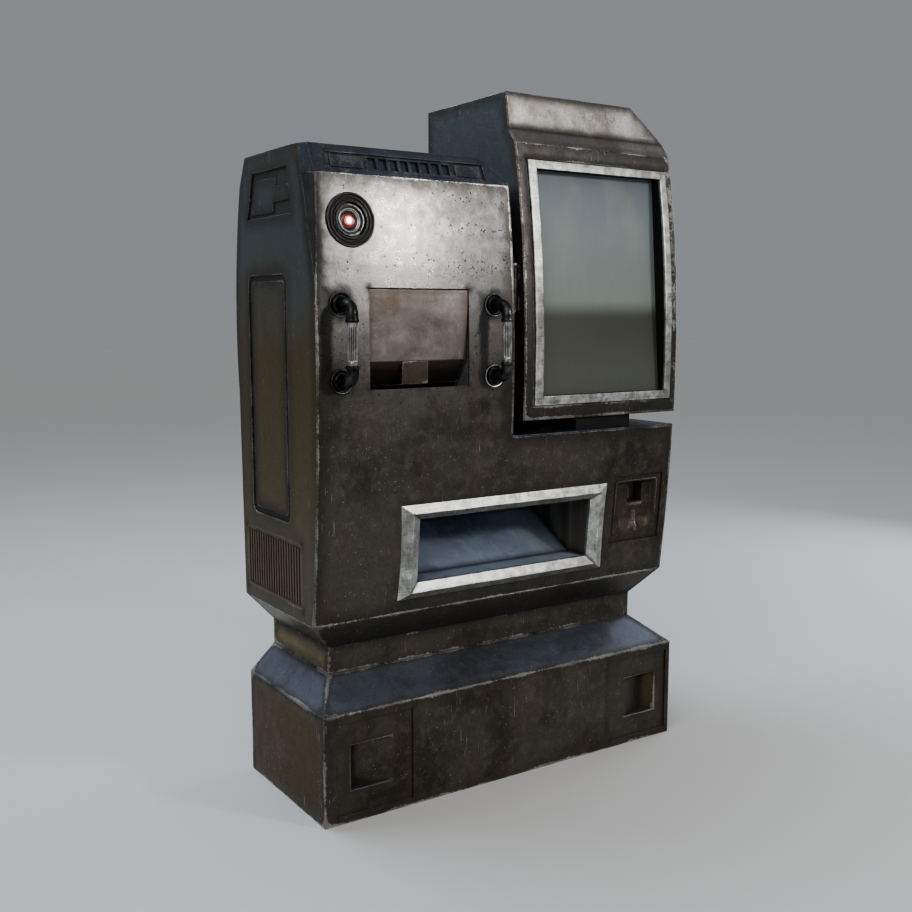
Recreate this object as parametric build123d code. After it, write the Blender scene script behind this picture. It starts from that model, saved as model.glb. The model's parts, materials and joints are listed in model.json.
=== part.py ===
from build123d import *
from math import atan2, degrees, sqrt
import os

# A free-standing lobby cash machine: a plinth, a neck, an L-shaped cabinet with a tall
# left tower, and a display unit that hangs on the tower and swings out for service.
# Shapes are drawn with X to the right, Z up from the floor and Y as the depth behind
# the front of the plinth. save() moves them so that the origin is the middle of the
# plinth's footprint on the floor.

# Overall sizes, in millimetres
half_width = 500
sheet = 4
plinth_depth = 384
plinth_height = 244
neck_bottom = 303
neck_top = 363
neck_inset = 61.5
neck_front = 94.5
body_bottom = 431
deck_height = 811
roof_height = 1430
tower_right = -2
far = 900

# Barrel-shaped front: vertical at barrel_level, falling back above and below it
barrel_level = 1000
barrel_front = 6
barrel_radius_low = 4347
barrel_radius_high = 2535
knee_height = 1370

# Back of the cabinet
back_low = 398
back_high = 407
back_straight_top = 900
back_crest = (414.5, 1090)
back_knee = (377, 1370)

# Display unit
screen_left = 25
screen_right = 502
screen_bottom = 843
screen_top = 1588
screen_back = 416
visor_foot = 1473
visor_ledge = (75, 1505)
visor_top_depth = 86

# Openings in the cabinet front, as left, right, bottom, top
deposit_window = (-376, -127, 930, 1141)
tray_outer = (-296, 292, 459, 676)
tray_ridge = (-268, 264, 475.5, 656.5)
tray_inner = (-245.5, 241.5, 496, 641)
card_window = (314, 476, 519, 688)
card_lip = (322, 462, 534, 677)
card_slot = (373, 420, 619, 675)
display_outer = (55, 481, 877, 1435)
display_inner = (79, 461, 898, 1415)
plinth_windows = {"left": (-470, -280, 17, 225), "right": (296, 486, 17, 225)}
door_window = (-470, 470, 470, 795)

# Openings in the left side, as front, back, bottom, top
tall_panel = (143, 340, 638, 1170)
louvre = (88, 380, 460, 600)

# Camera and handles
camera_x = -410
camera_z = 1277
camera_radius = 56
handle_x = {"left": -443, "right": -60}
handle_low = 950
handle_high = 1107
handle_reach = 50
bend_radius = 24
elbow_radius = 12.5
grip_radius = 10.5
grip_bottom = 985
grip_top = 1070

# Hinges
flap_axis_z = 1131
flap_axis_behind = 9
flap_pin_radius = 3
screen_axis = (12, 30)
screen_hinge = (1095, 1197)
screen_leaf_depth = (26, 92)
screen_knuckle = 33
screen_knuckle_radius = 7
screen_pin_radius = 3.5
door_axis = (469, 414)
running_gap = 0.05


def front_depth(z, skin=0):
    radius = barrel_radius_low if z < barrel_level else barrel_radius_high
    return barrel_front + radius - sqrt((radius - skin) ** 2 - (z - barrel_level) ** 2)


def block(x0, x1, y0, y1, z0, z1):
    return Pos((x0 + x1) / 2, (y0 + y1) / 2, (z0 + z1) / 2) * Box(x1 - x0, y1 - y0, z1 - z0)


def window_block(window, y0, y1, grow=0):
    x0, x1, z0, z1 = window
    return block(x0 - grow, x1 + grow, y0, y1, z0 - grow, z1 + grow)


def beyond(point, normal, inset=0):
    """The half-space on the outer side of a plane that has been moved in by inset."""
    outward = Vector(*normal).normalized()
    plane = Plane(origin=Vector(*point) - outward * inset, z_dir=outward)
    return plane * Box(3000, 3000, 3000, align=(Align.CENTER, Align.CENTER, Align.MIN))


def rod(start, end, radius):
    """A round bar between two points."""
    a = Vector(*start)
    b = Vector(*end)
    along = b - a
    plane = Plane(origin=a, z_dir=along)
    return plane * Cylinder(radius, along.length, align=(Align.CENTER, Align.CENTER, Align.MIN))


def side_prism(outline, x0, x1):
    """A flat outline of (depth, height) points, carried from x0 to x1."""
    face = make_face(Polyline([(x0, y, z) for y, z in outline], close=True))
    return extrude(face, amount=x1 - x0, dir=(1, 0, 0))


def plan_prism(outline, z0, z1):
    """A flat outline of (x, depth) points, carried from z0 to z1."""
    face = make_face(Polyline([(x, y, z0) for x, y in outline], close=True))
    return extrude(face, amount=z1 - z0, dir=(0, 0, 1))


def front_arc(x, z0, z1, skin):
    middle = (z0 + z1) / 2
    ends = [(x, front_depth(z, skin), z) for z in (z0, middle, z1)]
    return ThreePointArc(*ends)


def barrel_prism(x0, x1, z0, z1, skin=0, back=far):
    """A block whose front is the barrel surface moved in by skin."""
    front = [front_arc(x0, z0, min(z1, barrel_level), skin)] if z0 < barrel_level else []
    if z1 > barrel_level:
        front.append(front_arc(x0, max(z0, barrel_level), z1, skin))
    start = (x0, front_depth(z0, skin), z0)
    end = (x0, front_depth(z1, skin), z1)
    rest = Polyline(end, (x0, back, z1), (x0, back, z0), start)
    face = make_face(front + [rest])
    return extrude(face, amount=x1 - x0, dir=(1, 0, 0))


def barrel_sheet(x0, x1, z0, z1, outer, inner):
    """A curved sheet that lies between two skins of the barrel surface."""
    return barrel_prism(x0, x1, z0, z1, outer) - barrel_prism(x0 - 9, x1 + 9, z0 - 9, z1 + 9, inner)


def cabinet(inset=0, floor=0):
    """The L-shaped cabinet as one solid, with its walls moved in by inset."""
    x0 = -half_width + inset
    z0 = body_bottom - floor
    high = roof_height - inset
    arcs = [front_arc(x0, z0, barrel_level, inset), front_arc(x0, barrel_level, high, inset)]
    back = [
        Line((x0, back_low - inset, z0), (x0, back_high - inset, back_straight_top)),
        ThreePointArc(
            (x0, back_high - inset, back_straight_top),
            (x0, back_crest[0] - inset, back_crest[1]),
            (x0, back_knee[0] - inset, back_knee[1]),
        ),
        Line((x0, back_knee[0] - inset, back_knee[1]), (x0, back_knee[0] - inset, high)),
    ]
    ends = [
        Line((x0, front_depth(z0, inset), z0), (x0, back_low - inset, z0)),
        Line((x0, front_depth(high, inset), high), (x0, back_knee[0] - inset, high)),
    ]
    solid = extrude(make_face(arcs + back + ends), amount=2 * (half_width - inset), dir=(1, 0, 0))
    solid -= beyond((0, front_depth(knee_height), knee_height), (0, -60, 26.5), inset)
    solid -= beyond((0, *back_knee), (0, 62, 33), inset)
    solid -= beyond((tower_right, 0, 1375), (55, 0, 62), inset)
    solid -= beyond((-half_width, 9, 1100), (-0.93, -0.36, 0.09), inset)
    solid -= block(tower_right - inset, far, -far, far, deck_height - inset, 2000)
    return solid


def display_case(inset=0):
    """The display unit as one solid, with its walls moved in by inset."""
    x0 = screen_left + inset
    outline = [
        front_arc(x0, screen_bottom, barrel_level, 0),
        front_arc(x0, barrel_level, visor_foot, 0),
        Polyline(
            (x0, front_depth(visor_foot), visor_foot),
            (x0, *visor_ledge),
            (x0, visor_top_depth, screen_top),
            (x0, screen_back, screen_top),
            (x0, screen_back, screen_bottom),
            (x0, front_depth(screen_bottom), screen_bottom),
        ),
    ]
    face = make_face(outline)
    if inset:
        face = offset(face, amount=-inset, kind=Kind.INTERSECTION)
    solid = extrude(face, amount=screen_right - screen_left - 2 * inset, dir=(1, 0, 0))
    return solid - beyond((screen_right, 0, 1507), (80, 0, 98), inset)


def save(name, shape):
    """Write one node, moved so that the origin is the plinth's middle."""
    export_step(Pos(0, -plinth_depth / 2, 0) * shape, f"parts/{name}.step")


# --- Plinth, neck and the flare under the cabinet ---


def frustum(low, high, z0, z1):
    """A solid between two level rectangles, each given as x half-width, front, back."""
    faces = []
    for (half, front, back), z in ((low, z0), (high, z1)):
        points = [(-half, front, z), (half, front, z), (half, back, z), (-half, back, z)]
        faces.append(make_face(Polyline(points, close=True)))
    return loft(faces)


def inner(rectangle):
    half, front, back = rectangle
    return half - sheet, front + sheet, back - sheet


plinth_plan = (half_width, 0, plinth_depth)
neck_plan = (half_width - neck_inset, neck_front, plinth_depth)
body_plan = (half_width, front_depth(body_bottom), back_low)


def plinth_skirt():
    shell = frustum(plinth_plan, plinth_plan, 0, plinth_height)
    shell += frustum(plinth_plan, neck_plan, plinth_height, neck_bottom)
    hollow = frustum(inner(plinth_plan), inner(plinth_plan), -1, plinth_height - 2)
    hollow += frustum(inner(plinth_plan), inner(neck_plan), plinth_height - 2, neck_bottom + 1)
    shell -= hollow
    for window in plinth_windows.values():
        shell -= window_block(window, -1, sheet + 1)
    return shell


def plinth_floor():
    plate = block(-half_width + sheet, half_width - sheet, sheet, plinth_depth - sheet, 0, 6)
    for x in (-400, 400):
        for y in (plinth_depth / 2 - 130, plinth_depth / 2 + 130):
            plate -= rod((x, y, -1), (x, y, 7), 9)
    return plate


def plinth_pocket(window, outer_side):
    """A pressed plate behind a skirt window, with a wedge-shaped finger pocket."""
    x0, x1, z0, z1 = window
    plate = block(x0 - 8, x1 + 8, sheet, sheet + 3, z0 - 8, z1 + 8)
    middle = (x0 + x1) / 2
    edge = middle + outer_side * 60
    floor = middle + outer_side * 38
    run_out = middle - outer_side * 44
    back = [(edge + outer_side * 3, sheet + 3), (floor, sheet + 33), (run_out, sheet + 3)]
    cut = [(edge, sheet), (floor, sheet + 30), (run_out, sheet)]
    plate += plan_prism(back, 67, 174)
    return plate - plan_prism([(edge, sheet - 1)] + cut + [(run_out, sheet - 1)], 70, 171)


def neck_collar():
    """The upright neck and the flare that opens to the cabinet's lower edge."""
    collar = frustum(neck_plan, neck_plan, neck_bottom, neck_top)
    collar += frustum(neck_plan, body_plan, neck_top, body_bottom)
    hollow = frustum(inner(neck_plan), inner(neck_plan), neck_bottom - 1, neck_top + 1)
    hollow += frustum(inner(neck_plan), inner(body_plan), neck_top + 1, body_bottom + 1)
    return collar - hollow


# --- Cabinet shell ---


def front_fascia(shell):
    skin = shell & (
        block(-half_width + sheet, tower_right - sheet, -50, 150, body_bottom, knee_height)
        + block(tower_right - sheet, half_width - sheet, -50, 150, body_bottom, deck_height - sheet)
    )
    skin -= window_block(deposit_window, -50, 150)
    skin -= window_block(tray_ridge, -50, 150)
    skin -= window_block(card_window, -50, 150)
    skin -= camera_axis() * rod((0, 20, 0), (0, -20, 0), 40)
    for x in handle_x.values():
        for z in (handle_low, handle_high):
            skin -= rod((x, -20, z), (x, 60, z), 5.5)
    return skin


def left_side_cover(shell):
    skin = shell & block(-far, -half_width + sheet, -50, far, body_bottom, 2000)
    skin -= upper_plate_prism(-far, 0)
    skin -= rounded_side_block(tall_panel, -far, 0, 20)
    skin -= side_block(louvre, -far, 0)
    return skin


def rear_frame(shell):
    skin = shell & (
        block(-half_width + sheet, tower_right - sheet, 150, far, body_bottom, knee_height)
        + block(tower_right - sheet, half_width - sheet, 150, far, body_bottom, deck_height - sheet)
    )
    return skin - window_block(door_window, 300, far)


def tower_roof(shell):
    """The flat top and both slopes of the tower, with the vent's opening."""
    skin = shell & block(-half_width + sheet, tower_right - sheet, -50, far, knee_height, 2000)
    return skin - roof_vent_window(-20, sheet + 1)


def lower_deck(shell):
    deck = block(tower_right - sheet, half_width - sheet, -50, far, deck_height - sheet, deck_height)
    return shell & deck


def side_block(window, x0, x1, grow=0):
    y0, y1, z0, z1 = window
    return block(x0, x1, y0 - grow, y1 + grow, z0 - grow, z1 + grow)


def rounded_side_block(window, x0, x1, corner, grow=0):
    solid = side_block(window, x0, x1, grow)
    return fillet(solid.edges().filter_by(Axis.X), corner)


def upper_plate_prism(x0, x1, grow=0):
    outline = [
        (110 - grow, 1293 - grow),
        (337 + grow, 1293 - grow),
        (306 + grow, 1390 + grow),
        (130 - grow, 1390 + grow),
    ]
    return side_prism(outline, x0, x1)


def left_upper_plate():
    inside = -half_width + sheet
    plate = upper_plate_prism(inside, inside + 3, 8)
    field = [(124, 1301), (320, 1301), (294, 1373), (189, 1373), (187, 1354), (124, 1354)]
    notch = [(124, 1301), (199, 1301), (199, 1322), (132, 1322), (124, 1322)]
    raised = side_prism(field, inside - 2, inside)
    raised -= side_prism(notch, inside - 3, inside)
    return plate + raised


def left_tall_panel():
    inside = -half_width + sheet
    plate = side_block(tall_panel, inside, inside + 3, 10)
    return plate + rounded_side_block(tall_panel, inside - 2, inside, 12, -13)


def left_louvre():
    """A grille set flush in the side, with upright slits."""
    grille = side_block(louvre, -half_width, -half_width + sheet)
    grille += side_block(louvre, -half_width + sheet, -half_width + sheet + 2, 6)
    front, back, bottom, top = louvre
    slit_pitch = 13.2
    slit_count = 21
    first = (front + back) / 2 - slit_pitch * (slit_count - 1) / 2
    for i in range(slit_count):
        y = first + slit_pitch * i
        grille -= block(-far, 0, y - 2.6, y + 2.6, bottom + 7, top - 7)
    return grille


slope_point = (front_depth(knee_height), knee_height)
slope_lean = degrees(atan2(26.5, 60))


def slope_frame(along):
    """The place on the tower's front slope, along up from the knee; local -Y is outward."""
    return Pos(0, *slope_point) * Rot(-slope_lean, 0, 0) * Pos(0, 0, along)


def roof_vent_window(y0, y1, grow=0):
    return slope_frame(30) * block(-450 - grow, -64 + grow, y0, y1, -18 - grow, 18 + grow)


def roof_vent():
    """The slotted plate under the opening, with a shallow baffle held behind its slots."""
    back = sheet + 3
    slot_pitch = 26
    slot_middles = [-343 + slot_pitch * i for i in range(8)]
    plate = roof_vent_window(sheet, back, 3)
    for x in slot_middles:
        plate -= slope_frame(30) * block(x - 9.5, x + 9.5, 0, 20, -13, 13)
    for x0, x1 in ((-442, -366), (-138, -72)):
        plate += slope_frame(30) * block(x0, x1, sheet - 2, sheet, -13, 13)
    x0, x1 = slot_middles[0] - 14, slot_middles[-1] + 14
    baffle = block(x0, x1, back - 0.5, back + 5, -16, 16)
    baffle -= block(x0 + 3, x1 - 3, back - 1, back + 3, -17, 17)
    return plate + slope_frame(30) * baffle


# --- Camera and handles ---


def camera_axis():
    """Camera position, turned so that local -Y leaves the barrel surface squarely."""
    tilt = degrees(atan2(camera_z - barrel_level, barrel_radius_high))
    return Pos(camera_x, front_depth(camera_z), camera_z) * Rot(-tilt, 0, 0)


def ring(outer, hole, y0, y1):
    solid = rod((0, y1, 0), (0, y0, 0), outer)
    if hole:
        solid -= rod((0, y1 + 1, 0), (0, y0 - 1, 0), hole)
    return solid


def camera_housing():
    body = ring(camera_radius, 46, -3, -0.05) + ring(39.5, 0, -1, 34)
    body += ring(46, 38, -1.5, -0.05)
    body -= ring(36, 0, -9, 4)
    body += ring(33, 29, 1, 4)
    body -= ring(26, 0, -9, 12)
    return camera_axis() * body


def camera_chrome_ring():
    return camera_axis() * (ring(25.5, 19.5, 2, 12))


def camera_lens():
    dome = Pos(0, 30, 0) * Sphere(26) & ring(19, 0, -2, 12)
    return camera_axis() * (dome - ring(10.5, 0, -9, 9))


def camera_lamp():
    return camera_axis() * ring(10, 0, 5.5, 9)


def handle_elbow(x, z, toward):
    """A bent end tube from the cabinet face round to the grip."""
    face = front_depth(z)
    reach = face - handle_reach
    grip_end = grip_top if toward < 0 else grip_bottom
    bent = (x, reach, z + toward * bend_radius)
    start = (x, reach + bend_radius, z)
    mid = bend_radius * (1 - sqrt(0.5))
    path = Line((x, face - 5, z), start)
    path += ThreePointArc(start, (x, reach + mid, z + toward * mid), bent)
    path += Line(bent, (x, reach, grip_end))
    section = Plane(origin=(x, face - 5, z), z_dir=(0, -1, 0)) * Circle(elbow_radius)
    tube = sweep(section, path=path)
    collar = rod((x, reach, grip_end - toward * 7), (x, reach, grip_end), elbow_radius + 1.5)
    return tube + collar


def handle_flange(x, z):
    """A round foot with a soft step, standing 5 mm off the curved face."""
    face = front_depth(z)
    disc = rod((x, face + 5, z), (x, face - 2.5, z), 26) + rod((x, face, z), (x, face - 5, z), 20)
    return disc - barrel_prism(x - 40, x + 40, z - 40, z + 40)


def handle_brackets(x):
    """The two cast ends of a handle: a foot and a bent tube each."""
    upper = handle_flange(x, handle_high) + handle_elbow(x, handle_high, -1)
    lower = handle_flange(x, handle_low) + handle_elbow(x, handle_low, 1)
    return Compound([upper, lower])


def handle_grip(x):
    """The straight fluted tube between the two elbows."""
    reach = (front_depth(handle_low) + front_depth(handle_high)) / 2 - handle_reach
    bar = rod((x, reach, grip_bottom), (x, reach, grip_top), grip_radius)
    flute = rod((0, 0, grip_bottom + 6), (0, 0, grip_top - 6), 1.6)
    for angle in range(0, 360, 30):
        bar -= Pos(x, reach, 0) * Rot(0, 0, angle) * Pos(grip_radius + 0.4, 0, 0) * flute
    return bar


def handle_nuts():
    """Studs and nuts that hold the four handle feet from inside the cabinet."""
    nuts = []
    for x in handle_x.values():
        for z in (handle_low, handle_high):
            face = front_depth(z)
            hexagon = Plane(origin=(x, face + sheet + 0.6, z), z_dir=(0, 1, 0)) * RegularPolygon(9, 6)
            nuts.append(extrude(hexagon, amount=9) + rod((x, face + 0.25, z), (x, face + 18, z), 5))
    return Compound(nuts)


# --- Deposit flap ---


flap_face = front_depth(flap_axis_z)
flap_axis = (flap_face + flap_axis_behind, flap_axis_z)
flap_crease = (barrel_front + 14, 988)
flap_lip = (barrel_front + 48, 936)
pocket_inside = (deposit_window[0] - 4, deposit_window[1] + 4, 926, 1145)
pocket_back = 150
pocket_wall = 3
pocket_mouth = (940, 1010)
bin_back = 330
bin_top = 1060


def deposit_pocket():
    """A steel box behind the deposit flap, open in front and low down at the back."""
    x0, x1, z0, z1 = pocket_inside
    box = barrel_prism(x0 - 3, x1 + 3, z0 - 3, z1 + 3, sheet, pocket_back + pocket_wall)
    box -= block(x0, x1, -50, pocket_back, z0, z1)
    box -= block(x0 + 20, x1 - 20, 50, far, *pocket_mouth)
    return box - rod((x0 - 9, *flap_axis), (x1 + 9, *flap_axis), flap_pin_radius)


def deposit_hinge_pin():
    x0, x1 = pocket_inside[:2]
    return rod((x0 - 3, *flap_axis), (x1 + 3, *flap_axis), flap_pin_radius)


def deposit_flap():
    """A bowed flap that hangs from a rod, with its lower lip bent in."""
    x0 = deposit_window[0] + 1.5
    x1 = deposit_window[1] - 1.5
    crease = flap_crease
    lip = flap_lip
    top = (flap_face + 1.5, 1138)
    bow = (flap_face + 3.5, 1065)
    face = make_face(
        [
            ThreePointArc((x0, *top), (x0, *bow), (x0, *crease)),
            Polyline(
                (x0, *crease),
                (x0, *lip),
                (x0, lip[0] + 2.5, lip[1] + 1.5),
                (x0, crease[0] + 3.6, crease[1] + 1),
            ),
            ThreePointArc(
                (x0, crease[0] + 3.6, crease[1] + 1),
                (x0, bow[0] + 3.2, bow[1]),
                (x0, top[0] + 3.2, top[1]),
            ),
            Line((x0, top[0] + 3.2, top[1]), (x0, *top)),
        ]
    )
    flap = extrude(face, amount=x1 - x0, dir=(1, 0, 0))
    y, z = flap_axis
    flap += rod((x0, y, z), (x1, y, z), 6)
    flap += block(x0, x1, top[0] + 1.5, y, z - 4, z + 4)
    return flap - rod((x0 - 1, y, z), (x1 + 1, y, z), flap_pin_radius + running_gap)


def deposit_tab():
    """The pull tab under the flap's crease."""
    run = flap_lip[0] - flap_crease[0]
    fall = flap_lip[1] - flap_crease[1]
    outline = [
        (flap_crease[0] + 0.01 * run, flap_crease[1] + 0.02 * fall),
        (flap_crease[0] + 3.5, 938),
        (flap_crease[0] + 6.5, 938.5),
        (flap_crease[0] + 0.27 * run, flap_crease[1] + 0.28 * fall),
    ]
    return side_prism(outline, -289, -224)


def deposit_bin():
    """An open-fronted steel bin behind the pocket that catches the envelopes."""
    x0, x1 = pocket_inside[:2]
    y0 = pocket_back + pocket_wall
    box = block(x0, x1, y0, bin_back, deck_height, bin_top)
    box -= block(x0 + 2, x1 - 2, y0 + 2, bin_back - 2, deck_height + 2, bin_top - 2)
    return box - block(x0 + 20, x1 - 20, 50, 200, *pocket_mouth)


# --- Cash tray ---


tray_low, tray_high = tray_outer[2:]
tray_lean = degrees(atan2(front_depth(tray_low) - front_depth(tray_high), tray_high - tray_low))
tray_middle = (tray_low + tray_high) / 2


def tray_frame():
    """Middle of the tray opening on the face, turned so that local -Y is outward."""
    chord = (front_depth(tray_low) + front_depth(tray_high)) / 2
    return Pos(0, chord, tray_middle) * Rot(tray_lean, 0, 0)


def bezel_rectangle(window, y):
    x0, x1 = window[:2]
    low, high = (z - tray_middle for z in window[2:])
    points = [(x0, y, low), (x1, y, low), (x1, y, high), (x0, y, high)]
    return make_face(Polyline(points, close=True))


bezel_foot = 7
bezel_proud = 11


def tray_bezel():
    """A bevelled bright frame: it rises to a ridge and falls again to the opening."""
    ridge = bezel_rectangle(tray_ridge, -bezel_proud)
    rise = loft([bezel_rectangle(tray_outer, 0), ridge])
    foot = extrude(bezel_rectangle(tray_outer, 0), amount=bezel_foot, dir=(0, 1, 0))
    fall = loft([bezel_rectangle(tray_inner, 0), ridge])
    throat = extrude(bezel_rectangle(tray_inner, 0), amount=30, dir=(0, 1, 0))
    frame = tray_frame() * (rise + foot - fall - throat)
    wall = barrel_prism(-far, far, 400, 760) - window_block(tray_ridge, -50, 150)
    return frame - wall


chute_back = 262
ramp_foot = 108
ramp_top = 588
chute_wall = 3


def tray_chute():
    """The folded steel chute: level lip, ramp up to the note slot, side walls and roof."""
    x0, x1, z0, z1 = tray_inner
    t = chute_wall
    outer = block(x0 - t, x1 + t, 0, chute_back + t, z0 - t, z1 + t)
    outer -= tray_frame() * block(-far, far, -far, bezel_foot, -300, 300)
    room = [(0, z0), (ramp_foot, z0), (chute_back, ramp_top), (chute_back, z1), (0, z1)]
    chute = outer - side_prism(room, x0, x1)
    under = [(ramp_foot + 12, z0 - 4), (chute_back + 4, z0 - 4), (chute_back + 4, ramp_top - 8)]
    chute -= side_prism(under, x0 - 9, x1 + 9)
    return chute - block(-90, 90, chute_back - 1, chute_back + 9, 600, 628)


roller_axis_depth = 284
roller_radius = 13.85
nip_height = 614
roller_rise = 14
cheek_x = 101
shaft_radius = 4


def delivery_bracket():
    """Two cheeks that carry the delivery rollers on the back of the chute."""
    cheeks = []
    y = roller_axis_depth
    for x in (-cheek_x, cheek_x):
        cheek = block(x - 3, x + 3, chute_back + chute_wall, 310, ramp_top, 640)
        for z in (nip_height - roller_rise, nip_height + roller_rise):
            cheek -= rod((x - 9, y, z), (x + 9, y, z), shaft_radius + running_gap)
        cheeks.append(cheek)
    return Compound(cheeks)


def delivery_roller(z):
    y = roller_axis_depth
    shaft = rod((-110, y, z), (110, y, z), shaft_radius)
    for x in (-60, 0, 60):
        shaft += rod((x - 16, y, z), (x + 16, y, z), roller_radius)
    return shaft


# --- Card reader ---


def card_surround():
    """A sunk steel plate round the reader, with a rounded opening."""
    x0, x1, z0, z1 = card_window
    plate = barrel_sheet(x0 - 8, x1 + 8, z0 - 8, z1 + 8, sheet, sheet + 4)
    hole = fillet(window_block(card_lip, -50, 150).edges().filter_by(Axis.Y), 12)
    return plate - hole


def card_mouth():
    """The reader's dished mouthpiece, with a rolled lip and the card slot."""
    outer = fillet(window_block(card_lip, 0, 80).edges().filter_by(Axis.Y), 12)
    body = outer & barrel_prism(300, 490, 500, 700, 1.5, 66)
    dish = fillet(window_block(card_lip, 0, 80, -5).edges().filter_by(Axis.Y), 8)
    body -= dish - barrel_prism(300, 490, 500, 700, 14)
    return body - window_block(card_slot, 0, 100)


def card_guide():
    """A tapered shelf and rib below the slot that lead the card in."""
    front = front_depth(600, 14) - 9
    shelf = [(374, 612), (419, 612), (410, 592), (383, 592)]
    rib = [(389, 596), (404, 596), (404, 550), (389, 550)]
    foot = [(389, 556), (404, 556), (424, 541), (369, 541)]
    guide = Part()
    for outline in (shelf, rib, foot):
        flat = make_face(Polyline([(x, front, z) for x, z in outline], close=True))
        guide += extrude(flat, amount=20, dir=(0, 1, 0))
    return guide - barrel_prism(300, 490, 500, 700, 14)


def card_reader():
    """The reader behind the mouthpiece, with its card path open to the front."""
    body = block(345, 448, 66, 215, 560, 700)
    middle = (card_slot[0] + card_slot[1]) / 2
    return body - block(middle - 3, middle + 3, 0, 160, card_slot[2] + 0.5, card_slot[3] - 0.5)


# --- Display unit ---


def display_parts():
    """The display unit's outer sheets, cut from one hollow case."""
    shell = display_case() - display_case(sheet)
    z_low = screen_bottom + sheet
    x0 = screen_left + sheet
    x1 = screen_right - sheet
    opening = window_block(display_outer, -50, 120, 1.5)
    hood_line = screen_top - 80
    hood = block(x0, x1, -50, 150, visor_foot, 2000) + block(x0, x1, 150, far, hood_line, 2000)
    wrap = block(x0, x1, -50, 150, 0, z_low) + block(x0, x1, 150, far, 0, hood_line)
    return {
        "screen_left_side": shell & block(-far, x0, -50, far, 0, 2000),
        "screen_right_side": shell & block(x1, far, -50, far, 0, 2000),
        "screen_wrap": shell & wrap,
        "screen_front": (shell & block(x0, x1, -50, 150, z_low, visor_foot)) - opening,
        "screen_hood": shell & hood,
    }


def screen_bezel():
    """The bright frame round the display, following the barrel face."""
    x0, x1, z0, z1 = display_outer
    frame = barrel_sheet(x0, x1, z0, z1, -4, sheet)
    return frame - window_block(display_inner, -50, 150)


def glass_depth(z):
    z0, z1 = display_inner[2:]
    return 25 + 41 * (z - z0) / (z1 - z0)


def leaning_plate(near, deep):
    """A flat plate parallel to the leaning glass, between two distances behind its face."""
    x0, x1, z0, z1 = display_inner
    outline = [
        (glass_depth(z0) + near, z0),
        (glass_depth(z1) + near, z1),
        (glass_depth(z1) + deep, z1),
        (glass_depth(z0) + deep, z0),
    ]
    return side_prism(outline, x0, x1)


def screen_recess():
    """The black surround that carries the glass behind the bezel."""
    x0, x1, z0, z1 = display_outer
    box = barrel_prism(x0 - 6, x1 + 6, z0 - 6, z1 + 6, sheet, 110)
    return box - window_block(display_inner, -50, 150)


def hinge_knuckles(spans, reach_x, hole):
    """Knuckles on the display hinge's axis, each tied to a leaf at reach_x."""
    x, y = screen_axis
    solids = []
    for z0, z1 in spans:
        body = rod((x, y, z0), (x, y, z1), screen_knuckle_radius)
        body += block(min(x, reach_x), max(x, reach_x), y - 4, y + 4, z0, z1)
        solids.append(body - rod((x, y, z0 - 1), (x, y, z1 + 1), hole))
    return solids


def tower_hinge_leaf():
    z0, z1 = screen_hinge
    leaf = block(tower_right, tower_right + sheet, *screen_leaf_depth, z0, z1)
    spans = [(z0, z0 + screen_knuckle), (z1 - screen_knuckle, z1)]
    for knuckle in hinge_knuckles(spans, tower_right, screen_pin_radius):
        leaf += knuckle
    return leaf


def screen_hinge_leaf():
    z0, z1 = screen_hinge
    leaf = block(screen_left - sheet, screen_left, *screen_leaf_depth, z0, z1)
    spans = [(z0 + screen_knuckle + 1, z1 - screen_knuckle - 1)]
    for knuckle in hinge_knuckles(spans, screen_left, screen_pin_radius + running_gap):
        leaf += knuckle
    return leaf


def screen_hinge_pin():
    x, y = screen_axis
    z0, z1 = screen_hinge
    return rod((x, y, z0 - 4), (x, y, z1 + 4), screen_pin_radius) + rod((x, y, z1), (x, y, z1 + 4), 6)


def screen_rest():
    """Low-friction rests on the deck that carry the display unit when it is shut."""
    rest = block(190, 361, 20, 300, deck_height, screen_bottom - 0.5)
    post = block(120, 160, 70, 110, deck_height, screen_bottom - 0.5)
    return Compound([rest, post])


# --- Rear service door ---


door_pins_z = (500, 720)
lever_x = -430
lever_z = 632
spindle_radius = 6
door_pin_radius = 3


def rear_door(solid_cabinet):
    """A shallow steel pan that fills the rear opening, with its hinge leaves welded on."""
    slab = solid_cabinet & window_block(door_window, 300, far, -2.5)
    slab -= Pos(0, -22, 0) * solid_cabinet
    hollow = window_block(door_window, 300, far, -5.5) & Pos(0, -3, 0) * solid_cabinet
    door = slab - hollow
    door -= rod((lever_x, 300, lever_z), (lever_x, far, lever_z), spindle_radius + running_gap)
    spans = [(z - 9.5, z + 9.5) for z in door_pins_z]
    for leaf in door_leaves(solid_cabinet, -1, spans, door_pin_radius + running_gap):
        door += leaf
    return door


def door_leaves(solid_cabinet, side, spans, hole):
    """Knuckled leaves screwed to the frame (side 1) or to the door (side -1)."""
    x, y = door_axis
    solids = []
    for z0, z1 in spans:
        near = min(x, x + side * 22)
        leaf = block(near, near + 22, 390, y - 2.5, z0, z1)
        leaf += rod((x, y, z0), (x, y, z1), 5.5)
        leaf -= rod((x, y, z0 - 1), (x, y, z1 + 1), hole)
        leaf -= solid_cabinet
        solids.append(leaf)
    return solids


def door_hinges(solid_cabinet):
    """The frame's halves of the rear door hinges, with their pins."""
    x, y = door_axis
    spans = [(z - 30, z - 10) for z in door_pins_z] + [(z + 10, z + 30) for z in door_pins_z]
    pins = [rod((x, y, z - 31), (x, y, z + 31), door_pin_radius) for z in door_pins_z]
    return Compound(door_leaves(solid_cabinet, 1, spans, door_pin_radius) + pins)


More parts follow.
